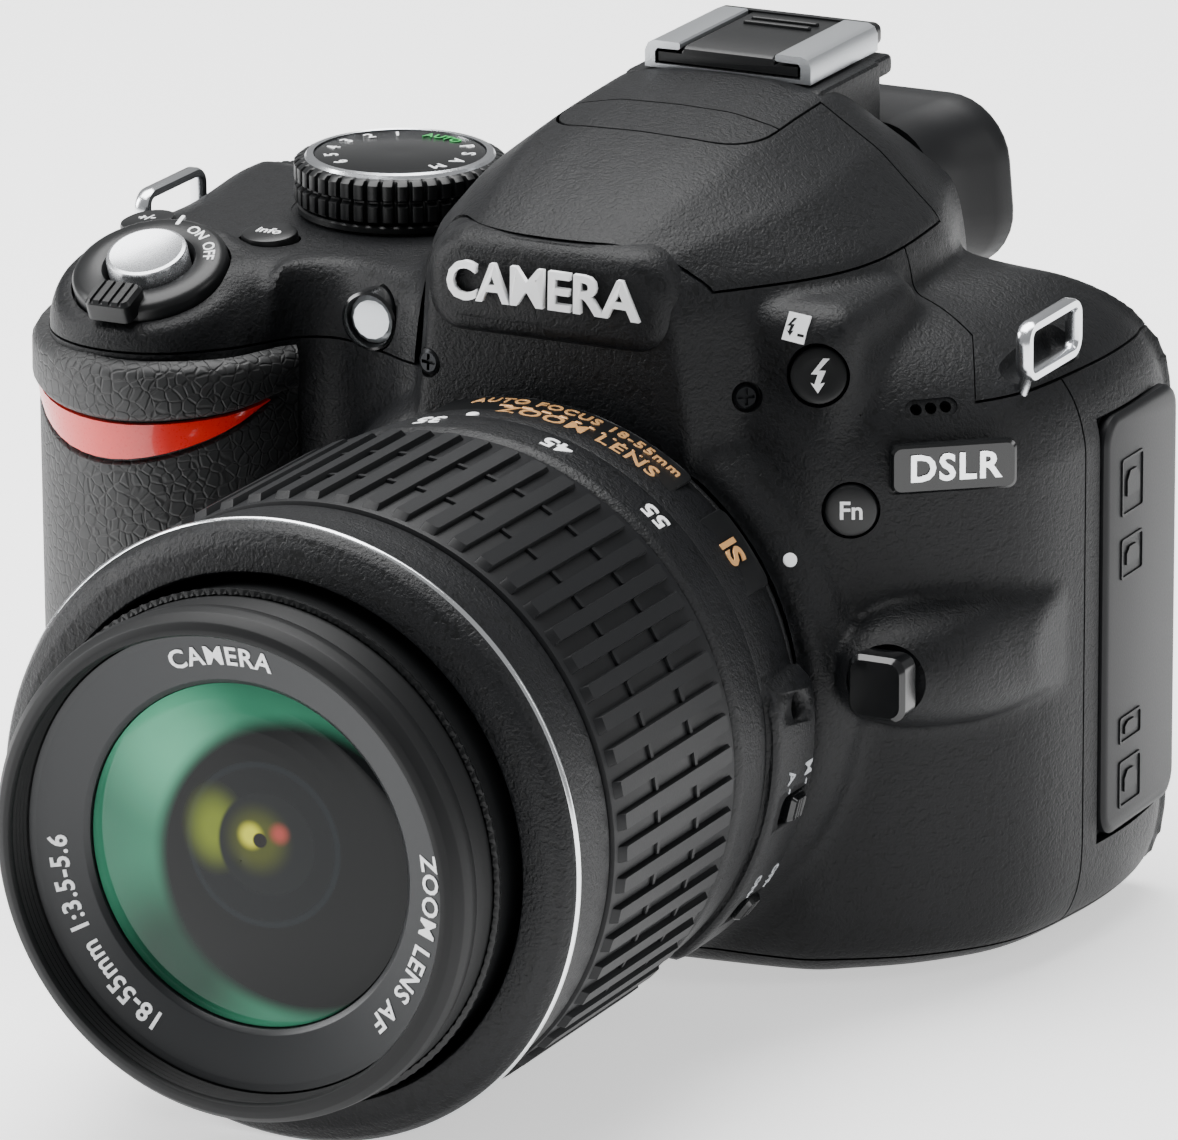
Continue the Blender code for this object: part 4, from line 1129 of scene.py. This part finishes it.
build_barrel()
build_lens_switches()
build_zoom_ring()
build_zoom_band()
build_front_group()
repaint(SATIN_CHROME, "lens_mount", "body_mount_ring")


# ---------------------------------------------------------------- shutter, dials and buttons

def ring_shape(name, centre, axis, profile, count=96):
    """A closed (radius, height) profile carried round an axis."""
    return along(name, centre, axis, [(height, circle(radius, count)) for radius, height in profile], True)


def around(centre, axis, radius, degrees):
    """Where a text point goes on a flat face, bent round its middle; degrees run from +X towards the back."""
    turned = Vector(axis).normalized().to_track_quat("Z", "Y").to_matrix()

    def place(x, y, h):
        angle = math.radians(degrees) - x / radius
        reach = radius + y
        return Vector(centre) + turned @ Vector((reach * math.cos(angle), reach * math.sin(angle), h))
    return place


def build_shutter():
    button = button_shape("shutter_release", SHUTTER, SHUTTER_AXIS, 4.75, -2.4, 3.1, 0.35, 96)
    finish(button, SHUTTER_SILVER, "shutter_button", "silver_metal", "shutter_button")
    collar = ring_shape("power_collar", SHUTTER, SHUTTER_AXIS, [
        (9.1, -1.6), (9.1, 0.7), (8.8, 1.25), (8.2, 1.6), (6.2, 1.75), (5.5, 1.5), (5.2, 1.0), (5.2, -1.6)])
    tab = [(x, y - 8.3) for x, y in rounded_rect(2.9, 2.3, 0.9)]
    crown = [(x * 0.88, (y + 8.3) * 0.85 - 8.3) for x, y in tab]
    combine(collar, along("tab", SHUTTER, SHUTTER_AXIS, [(0.6, tab), (2.7, tab), (3.2, crown)]), "UNION")
    for k in range(4):
        groove = [(x - 1.8 + 1.2 * k, y - 8.6) for x, y in rounded_rect(0.2, 3.0, 0.1)]
        carve(collar, plug(SHUTTER, SHUTTER_AXIS, groove, 2.85, 5.0))
    finish(smooth(collar), SATIN_ABS, "power_switch", "smooth_plastic", "power_switch")
    bar = along("power_index", SHUTTER, SHUTTER_AXIS, [
        (height, [(x * 0.55, y * 1.3 + 8.2) for x, y in rounded_rect(0.45, 0.7, 0.2)]) for height in (1.3,
                                                                                                      1.68)])
    finish(bar, WHITE_PRINT, "power_switch", "smooth_plastic")
    for words, degrees in (("OFF", 27.0), ("ON", 62.0)):
        text = lettering("power_word", words, 2.0, around(SHUTTER, SHUTTER_AXIS, 7.0, degrees), 0.05, 0.03)
        for vertex in text.data.vertices:
            vertex.co += SHUTTER_AXIS * 1.68 * MM
        finish(text, WHITE_PRINT, "power_switch", "smooth_plastic")
    for node, words in (("exposure_button", "+/-"), ("info_button", "info")):
        centre, axis = TOP_BUTTONS[node]
        cap = button_shape(node + "_cap", centre, axis, 3.3, -1.4, 1.1, 0.0, 64)
        finish(cap, SATIN_ABS, node, "smooth_plastic", node)
        text = lettering(node + "_mark", words, 2.1,
                         flat_on(centre + axis.normalized() * 1.1, axis, (0, 1, 0)), 0.05, 0.03)
        finish(text, WHITE_PRINT, node, "smooth_plastic")


def knurled(radius, depth, teeth):
    """Flat-topped teeth with narrow rounded grooves between them."""
    points = []
    for i in range(teeth):
        for share, cut in ((0.0, 1.0), (0.12, 0.85), (0.24, 0.12), (0.34, 0.0), (0.78, 0.0), (0.88, 0.12)):
            angle = math.tau * (i + share) / teeth
            points.append(((radius - depth * cut) * math.cos(angle),
                           (radius - depth * cut) * math.sin(angle)))
    return points


def build_mode_dial():
    centre, radius, teeth = (DIAL.x, DIAL.y, 0.0), 12.4, 44
    body = along("mode_dial_body", centre, (0, 0, 1), [
        (77.4, knurled(radius - 0.5, 0.4, teeth)), (77.7, knurled(radius, 0.75, teeth)),
        (79.5, knurled(radius, 0.75, teeth)),
        (79.8, knurled(radius - 0.6, 0.3, teeth)), (80.0, knurled(radius - 0.6, 0.3, teeth)),
        (80.3, knurled(radius, 0.75, teeth)), (82.0, knurled(radius, 0.75, teeth)),
        (82.4, knurled(radius - 0.5, 0.5, teeth)),
        (82.6, knurled(radius - 1.1, 0.1, teeth)), (82.6, knurled(radius - 1.6, 0.0, teeth))])
    finish(body, SATIN_ABS, "mode_dial", "smooth_plastic", "mode_dial")
    rim = ring_shape("dial_chamfer", centre, (0, 0, 1),
                     [(11.3, 82.4), (10.9, 82.95), (10.4, 83.1), (10.1, 83.0), (10.1, 82.4)])
    finish(rim, SATIN_CHROME, "mode_dial", "silver_metal")
    disc = button_shape("dial_disc", centre, (0, 0, 1), 10.1, 82.3, 82.95, 0.0, 96)
    finish(disc, GLOSS_ABS, "mode_dial", "smooth_plastic")
    marks = (("M", 150.0), ("A", 174.0), ("S", 198.0), ("P", 222.0), ("AUTO", 258.0), ("1", 300.0),
             ("2", 324.0),
             ("3", 348.0), ("4", 12.0), ("5", 36.0), ("6", 60.0))
    for words, degrees in marks:
        material = GREEN_PRINT if words == "AUTO" else WHITE_PRINT
        size = 1.9 if words == "AUTO" else 2.3
        printed("dial_mark", words, size,
                around((DIAL.x, DIAL.y, 82.97), (0, 0, 1), 8.0, degrees), material, "mode_dial", 0.05, 0.04)
    base = ring_shape("release_ring", centre, (0, 0, 1),
                      [(12.0, 76.3), (12.0, 76.9), (11.8, 77.1), (6.0, 77.1), (6.0, 76.3)])
    spread = [math.radians(205 + 1.6 * i) for i in range(15)]

    def wedge(inner, outer, squeeze):
        angles = [math.radians(216.2) + (a - math.radians(216.2)) * squeeze for a in spread]
        return ([(inner * math.cos(a), inner * math.sin(a)) for a in angles]
                + [(outer * math.cos(a), outer * math.sin(a)) for a in reversed(angles)])
    lever = along("drive_lever", centre, (0, 0, 1), [
        (76.3, wedge(12.8, 15.8, 1.0)), (80.6, wedge(12.8, 15.8, 1.0)), (81.2, wedge(13.1, 15.3, 0.86))])
    link = along("link", centre, (0, 0, 1), [(76.3, wedge(11.0, 15.0, 0.9)), (77.05, wedge(11.0, 15.0, 0.9))])
    combine(base, lever, "UNION")
    combine(base, link, "UNION")
    finish(smooth(base), SATIN_ABS, "release_lever", "smooth_plastic", "release_lever")


def lightning(size):
    """Outline of the arrow-headed bolt that stands for a flash."""
    points = ((0.25, 1.0), (-0.45, 0.05), (-0.05, 0.05), (-0.22, -0.55), (-0.45, -0.45), (0.0, -1.05),
              (0.38, -0.42),
              (0.1, -0.5), (0.42, 0.28), (0.0, 0.28), (0.62, 1.0))
    return [(x * size, y * size) for x, y in points]


def mark(name, outline, place, material, body, rise=0.06):
    """A flat printed or moulded sign: its outline carried a little out of the face."""
    piece = skin(name, [[place(x, y, h) for x, y in outline] for h in (-0.15, rise)])
    return finish(piece, material, body, "smooth_plastic")


def build_front_controls():
    centre, axis = FLASH_BUTTON
    cap = button_shape("flash_cap", centre, axis, 3.3, -1.2, 1.0, 0.12)
    finish(cap, SATIN_ABS, "flash_button", "smooth_plastic", "flash_button")
    mark("flash_bolt", lightning(1.9), flat_on(centre + axis.normalized(), axis), WHITE_PRINT, "flash_button")
    centre, axis = FUNCTION_BUTTON
    cap = button_shape("function_cap", centre, axis, 3.0, -1.2, 1.0, 0.0)
    finish(cap, SATIN_ABS, "function_button", "smooth_plastic", "function_button")
    printed("function_word", "Fn", 2.9,
            flat_on(centre + axis.normalized(), axis), WHITE_PRINT, "function_button", 0.05, 0.05)
    place = flat_on(*FLASH_SIGN)
    shield = [(-1.5, -1.45), (1.2, -1.75), (1.7, 1.5), (-1.0, 1.75)]
    mark("flash_sign", shield, place, WHITE_PRINT, "camera_body", 0.1)
    mark("flash_sign_bolt", [(x - 0.55, y + 0.1) for x, y in lightning(1.0)], place, MATT_ABS,
         "camera_body", 0.14)
    mark("flash_sign_step", [(0.35, -0.9), (1.15, -0.95), (1.15, -0.65), (0.35, -0.6)], place, MATT_ABS,
         "camera_body", 0.14)
    dot = button_shape("mount_dot", *MOUNT_DOT, 0.8, -0.5, 0.25, count=40)
    finish(dot, WHITE_PRINT, "camera_body", "smooth_plastic")
    for spot, out in SCREWS:
        head = screw_head("cover_screw", spot, out, (-1.1, -0.45, -0.2), (1.5, 1.5, 1.1), 40, (0.2, 0.95),
                          0.08, -0.75)
        finish(smooth(head), BLACK_STEEL, "camera_body", "dark_metal")
    lamp = along("lamp_lens", AF_LAMP, (0, -1, 0), [
        (0.0, circle(2.95, 14)), (1.5, circle(2.95, 14)), (2.1, circle(2.3, 14)), (2.2, circle(1.5, 14))])
    finish(lamp, CLEAR_LAMP, "camera_body", "coated_glass", "af_lamp")
    surround = ring_shape("lamp_surround", AF_LAMP, (0, -1, 0),
                          [(3.45, 0.2), (3.45, 2.7), (3.1, 2.9), (2.95, 2.4), (2.95, 0.2)], 64)
    finish(surround, GLOSS_ABS, "camera_body", "smooth_plastic")
    centre, axis = BADGE
    plate = along("badge_plate", centre, axis, [
        (-0.7, rounded_rect(7.2, 2.8, 1.0)), (0.3, rounded_rect(7.2, 2.8, 1.0)),
        (0.55, rounded_rect(6.9, 2.5, 0.9))])
    finish(plate, GLOSS_ABS, "camera_body", "smooth_plastic", "model_badge")
    text = lettering("badge_word", "DSLR", 4.2, flat_on(centre + axis.normalized() * 0.5, axis), 0.28, 0.12,
                     1.12)
    finish(text, BRIGHT_LINE, "camera_body", "silver_metal")
    button = along("release_cap", RELEASE, (0, -1, 0), [
        (-2.0, rounded_rect(3.5, 3.7, 1.6)), (0.6, rounded_rect(3.5, 3.7, 1.6)),
        (1.2, rounded_rect(3.0, 3.2, 1.4)), (1.0, rounded_rect(1.2, 1.4, 0.6))])
    finish(button, GLOSS_ABS, "lens_release_button", "smooth_plastic", "lens_release_button")


def build_lugs():
    """Flat steel loops standing in their dimples."""
    for node in ("strap_lug_right", "strap_lug_left"):
        centre = middle(node)
        half = (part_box(node)[1][0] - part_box(node)[0][0]) / 2 / MM
        sections = []
        for inset, across in ((0.0, -half + 0.35), (0.0, half - 0.35), (0.3, half), (1.5, half),
                              (1.75, half - 0.35),
                              (1.75, 0.35 - half), (1.5, -half), (0.3, -half)):
            outline = rounded_rect(7.4 - inset * 0.8, 3.5 - inset * 0.68, max(0.9, 2.4 - inset), 6)
            sections.append([(centre.x + across, centre.y + y, centre.z + z) for y, z in outline])
        loop = smooth(skin(node + "_loop", sections, True), 50)
        for end in (-1, 1):
            start = centre + Vector((0, 5.9 * end, -2.6))
            pin = along("pin", start, (-0.3, 0, -1), [(0.0, circle(0.7, 24)), (3.6, circle(0.7, 24))])
            combine(loop, pin, "UNION")
        finish(loop, SATIN_CHROME, "camera_body", "silver_metal", node)


# ---------------------------------------------------------------- shoe, eyecup, doors and rear

def build_shoe():
    low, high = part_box("shoe_rails")
    front, rear = low[1] / MM, high[1] / MM
    base, top = SHOE_Z, high[2] / MM
    profile = [(-10.6, base), (10.6, base), (10.6, top - 1.2), (10.2, top - 0.35), (9.4, top), (6.3, top),
               (6.1, top - 0.2),
               (6.1, top - 0.7), (6.3, top - 0.85), (9.0, top - 0.9), (9.3, top - 1.3), (9.3, base + 0.5)]
    outline = profile + [(-x, z) for x, z in reversed(profile[2:])]
    rails = skin("shoe_channel", [[(LENS_X + x, y, z) for x, z in outline] for y in (front, rear)])
    finish(smooth(rails, 40), SHOE_STEEL, "camera_body", "silver_metal", "shoe_rails")
    foot = base + 0.8
    sections = []
    for y, drop in ((front + 0.1, 0.75), (front + 0.25, 0.3), (front + 0.8, 0.0), (rear + 0.6, 0.0)):
        half, lift = 5.9, top - 0.4 - drop
        sections.append([(LENS_X + x, y, z) for x, z in (
            (-8.9, foot), (8.9, foot), (8.9, base + 1.9), (half, base + 1.9), (half, lift - 0.3),
            (half - 0.3, lift),
            (0.3 - half, lift), (-half, lift - 0.3), (-half, base + 1.9), (-8.9, base + 1.9))])
    cover = skin("shoe_cover_slide", sections)
    for k in (0.0, 2.1):
        ridge = block("ridge", (LENS_X - 4.3, rear - 5.2 + k, top - 0.8),
                      (LENS_X + 4.3, rear - 4.5 + k, top + 0.05), 0.3)
        combine(cover, ridge, "UNION")
    stop = along("stop", (LENS_X, rear + 0.3, base + 1.65), (0, 1, 0), [
        (0.0, rounded_rect(10.4, 1.35, 0.9)), (1.0, rounded_rect(10.4, 1.35, 0.9)),
        (1.3, rounded_rect(10.0, 1.0, 0.8))])
    combine(cover, stop, "UNION")
    finish(smooth(cover), SATIN_ABS, "shoe_cover", "smooth_plastic", "shoe_cover")


def build_eyecup():
    """Moulded rubber: it flares back from the frame and rolls over into the opening."""
    low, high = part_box("eyecup")
    centre_z = (low[2] + high[2]) / 2 / MM
    chain = [(62.5, 19.2, 9.2), (66.0, 19.7, 9.3), (69.0, 20.8, 9.5), (72.0, 22.6, 9.9), (74.0, 23.7, 10.3),
             (74.8, 23.5, 10.2),
             (75.0, 22.9, 9.7), (74.6, 22.2, 9.1), (72.6, 19.4, 8.7), (69.5, 15.0, 8.0), (67.0, 13.2, 7.5),
             (62.5, 12.6, 7.0)]
    sections = []
    for y, half_width, half_height in chain:
        outline = rounded_rect(half_width, half_height, half_height * 0.72, 8)
        sections.append([(LENS_X + x * (1.0 - 0.0035 * z), y, centre_z + z) for x, z in outline])
    cup = smooth(skin("eyecup_rubber", sections, True), 50)
    finish(cup, BAND_RUBBER, "camera_body", "grip_rubber", "eyecup")


def build_side_doors():
    sections = []
    for x, inset in ((60.8, 0.3), (61.1, 0.0), (62.0, 0.0), (62.35, 0.3), (62.5, 0.9)):
        outline = []
        for y, z in rounded_rect(9.9 - inset, 24.9 - inset, 3.2 - inset, 6):
            outline.append((x, 47.6 + y, 37.0 + z))
        sections.append(outline)
    door = smooth(skin("terminal_flap", sections), 40)
    finish(door, BAND_RUBBER, "terminal_door", "grip_rubber", "terminal_door")
    for z, half in ((53.0, 3.4), (44.5, 2.4), (24.0, 1.6), (17.5, 2.8)):
        frame_line = [(62.35 + depth, outline) for depth, outline in (
            (0.0, rounded_rect(3.0, half, 0.4)), (0.35, rounded_rect(3.0, half, 0.4)),
            (0.35, rounded_rect(2.7, half - 0.3, 0.3)),
            (0.0, rounded_rect(2.7, half - 0.3, 0.3)))]
        sections = [[(x, 44.5 + y, z + up) for y, up in outline] for x, outline in frame_line]
        finish(smooth(skin("socket_frame", sections, True)), BAND_RUBBER, "terminal_door", "grip_rubber")
        inner = [(-1.7, -half * 0.35), (1.7, -half * 0.35), (1.7, half * 0.2), (0.9, half * 0.5),
                 (-0.9, half * 0.5), (-1.7, half * 0.2)]
        piece = skin("socket_sign", [[(x, 44.5 + y, z + up) for y, up in inner] for x in (62.2, 62.75)])
        finish(piece, BAND_RUBBER, "terminal_door", "grip_rubber")
    sections = []
    for x, inset in ((-60.8, 0.2), (-61.9, 0.0), (-62.2, 0.4)):
        sections.append([(x, 47.5 + y, 36.0 + z) for y, z in rounded_rect(9.5 - inset, 16.0 - inset, 1.6, 6)])
    door = skin("card_flap", sections)
    for k in range(4):
        carve(door, block("tool", (-63.0, 41.0 + 1.5 * k, 31.0), (-62.0, 41.7 + 1.5 * k, 41.0)))
    finish(smooth(door), POLYCARBONATE, "card_door", "body_plastic", "card_door")
    sections = []
    for z, inset in ((2.7, 0.2), (0.6, 0.0), (0.3, 0.4)):
        sections.append([(-48.4 + x, 29.1 + y, z) for x,
                         y in rounded_rect(7.2 - inset, 19.5 - inset, 1.6, 6)])
    door = skin("battery_flap", sections)
    carve(door, block("tool", (-53.5, 33.0, 0.0), (-49.5, 38.0, 0.7), 0.3))
    finish(smooth(door), POLYCARBONATE, "battery_door", "body_plastic", "battery_door")


def build_rear():
    panel = [(x, z) for x, z in rounded_rect(33.75, 25.25, 1.2, 5)]
    window = skin("monitor_glass", [[(MONITOR_X + x, y, MONITOR_Z + z) for x,
                                     z in [(px * s, pz * s) for px, pz in panel]]
                                    for y, s in ((62.2, 1.0), (63.6, 1.0), (63.8, 0.994))])
    finish(smooth(window), SCREEN_GLASS, "camera_body", "coated_glass", "monitor_window")
    image = skin("display_area", [[(MONITOR_X + x, y, MONITOR_Z + z) for x,
                                   z in rounded_rect(30.5, 22.9, 0.3, 2)]
                                  for y in (63.7, 63.83)])
    finish(image, DISPLAY_DARK, "camera_body", "coated_glass")
    signs = {"playback_button": ">", "menu_button": "MENU", "zoom_out_button": "-", "zoom_in_button": "+",
             "delete_button": "x", "lock_button": "L"}
    for node, (x, z, radius) in REAR_BUTTONS.items():
        cap = button_shape(node + "_cap", (x, 60.2, z), (0, 1, 0), radius, 0.5, 2.9, 0.15)
        finish(cap, SATIN_ABS, node, "smooth_plastic", node)
        size = 1.5 if len(signs[node]) > 1 else 2.8
        text = lettering(node + "_mark", signs[node], size, flat_on((x, 63.0, z), (0, 1, 0)), 0.06, 0.04)
        finish(text, WHITE_PRINT, node, "smooth_plastic")
    pad = ring_shape("selector_ring", (SELECTOR_X, 60.1, SELECTOR_Z), (0, 1, 0), [
        (11.6, 0.0), (11.6, 1.9), (11.1, 2.6), (10.2, 2.8), (6.4, 2.3), (4.9, 2.4), (4.4, 2.1), (4.4, 0.0)])
    finish(pad, SATIN_ABS, "multi_selector", "smooth_plastic", "multi_selector")
    for k in range(4):
        angle = math.radians(90 * k)
        place = flat_on((SELECTOR_X + 9.0 * math.sin(angle), 62.75, SELECTOR_Z + 9.0 * math.cos(angle)),
                        (0, 1, 0),
                        (math.sin(angle), 0, math.cos(angle)))
        mark("selector_arrow", [(-0.9, -0.5), (0.9, -0.5), (0.0, 0.8)], place, GREY_PRINT, "multi_selector")
    ok = button_shape("ok_cap", (SELECTOR_X, 60.2, SELECTOR_Z), (0, 1, 0), 4.0, 0.0, 2.9, 0.15)
    finish(ok, SATIN_ABS, "ok_button", "smooth_plastic", "ok_button")
    text = lettering("ok_word", "OK", 2.6, flat_on((SELECTOR_X, 63.0, SELECTOR_Z), (0, 1, 0)), 0.06, 0.05)
    finish(text, WHITE_PRINT, "ok_button", "smooth_plastic")
    lever = ring_shape("live_lever", (LIVE_VIEW_X, 60.2, LIVE_VIEW_Z), (0, 1, 0), [
        (6.1, -0.2), (6.1, 1.4), (5.6, 1.9), (3.8, 1.9), (3.3, 1.5), (3.3, -0.2)])
    combine(lever, block("handle", (-42.2, 60.4, 59.8), (-38.8, 63.6, 61.7), 0.5), "UNION")
    finish(smooth(lever), SATIN_ABS, "live_view_lever", "smooth_plastic", "live_view_lever")
    movie = button_shape("movie_cap", (LIVE_VIEW_X, 60.2, LIVE_VIEW_Z), (0, 1, 0), 2.9, 0.2, 2.4, 0.1)
    finish(movie, SATIN_ABS, "movie_button", "smooth_plastic", "movie_button")
    spot = button_shape("movie_dot", (LIVE_VIEW_X, 62.6, LIVE_VIEW_Z), (0, 1, 0), 0.8, -0.3, 0.06, count=32)
    finish(spot, RED_PLASTIC, "movie_button", "red_plastic")
    wheel = along("thumb_wheel", (-50.0, 54.0, 0.0), (0, 0, 1), [
        (69.4, knurled(7.2, 0.4, 40)), (69.8, knurled(7.6, 0.6, 40)), (73.4, knurled(7.6, 0.6, 40)),
        (73.8, knurled(7.2, 0.4, 40))])
    finish(wheel, MATT_ABS, "command_dial", "smooth_plastic", "command_dial")
    sections = []
    for y, inset in ((60.9, 0.0), (62.4, 0.0), (62.9, 0.4), (63.2, 1.4)):
        sections.append([(-55.05 + x, y, 51.5 + z) for x,
                         z in rounded_rect(4.25 - inset, 11.2 - inset, 2.0, 6)])
    rest = smooth(skin("thumb_rest", sections), 50)
    finish(rest, GRIP_RUBBER, "camera_body", "grip_rubber", "thumb_rubber")


def build_insides():
    repaint(SCREEN_GLASS, "eyepiece_lens", "image_sensor", "reflex_mirror", "pentamirror")
    repaint(MATT_ABS, "mirror_box", "battery", "memory_card")
    repaint(BLACK_STEEL, "shutter_frame")
    repaint(SATIN_CHROME, "tripod_socket")
    repaint(BOARD, "main_board")


build_shutter()
build_mode_dial()
build_front_controls()
build_lugs()
build_shoe()
build_eyecup()
build_side_doors()
build_rear()
build_insides()


# ---------------------------------------------------------------- camera, floor and light

def look_at(obj, target):
    obj.rotation_euler = (Vector(target) - obj.location).to_track_quat("-Z", "Y").to_euler()


VIEW_DISTANCE = 1.07901
FOCAL_LENGTH_MM = 305.6027


def add_camera():
    """A long lens, level to within half a degree, above the object's left front."""
    azimuth, elevation, roll = math.radians(27.07), math.radians(17.2), math.radians(-0.39)
    target = Vector((31.94, -35.5, 60.79)) * MM
    back = Vector((math.sin(azimuth) * math.cos(elevation), -math.cos(azimuth) * math.cos(elevation),
                   math.sin(elevation)))
    right = Vector((math.cos(azimuth), math.sin(azimuth), 0))
    up = back.cross(right)
    view_right = right * math.cos(roll) + up * math.sin(roll)
    view_up = -right * math.sin(roll) + up * math.cos(roll)
    bpy.ops.object.camera_add()
    camera = bpy.context.object
    camera.name = "view"
    turned = Matrix((view_right, view_up, back)).transposed().to_4x4()
    camera.matrix_world = Matrix.Translation(target + back * VIEW_DISTANCE) @ turned
    camera.data.sensor_width = 36.0
    camera.data.lens = FOCAL_LENGTH_MM
    camera.data.shift_x = 0.014
    camera.data.clip_start = 0.01
    bpy.context.scene.camera = camera


def add_softbox(name, place, target, width, height, watts):
    clear_selection()
    bpy.ops.object.light_add(type="AREA", location=place)
    lamp = bpy.context.object
    lamp.name = name
    lamp.data.shape = "RECTANGLE"
    lamp.data.size = width
    lamp.data.size_y = height
    lamp.data.energy = watts
    look_at(lamp, target)


def add_stage():
    clear_selection()
    bpy.ops.mesh.primitive_plane_add(size=6.0, location=(0, 0, -0.0002))
    floor = bpy.context.object
    floor.name = "floor"
    floor.data.materials.append(plain("pale_floor", "#fbfbfb", 0.7, grain_mm=3.0,
                                      Emission_Color=linear("#ffffff"), Emission_Strength=0.85))
    world = bpy.data.worlds.new("studio")
    bpy.context.scene.world = world
    world.use_nodes = True
    world.node_tree.nodes["Background"].inputs["Color"].default_value = linear("#f6f7f8")
    world.node_tree.nodes["Background"].inputs["Strength"].default_value = 0.42
    aim = (0.01, -0.01, 0.04)
    add_softbox("top_softbox", (-0.2, 0.1, 0.95), aim, 1.1, 0.8, 26.0)
    add_softbox("left_softbox", (-0.85, -0.35, 0.4), aim, 0.3, 0.6, 9.0)
    add_softbox("right_softbox", (0.9, 0.2, 0.45), aim, 0.2, 0.5, 2.0)


add_camera()
add_stage()
clear_selection()
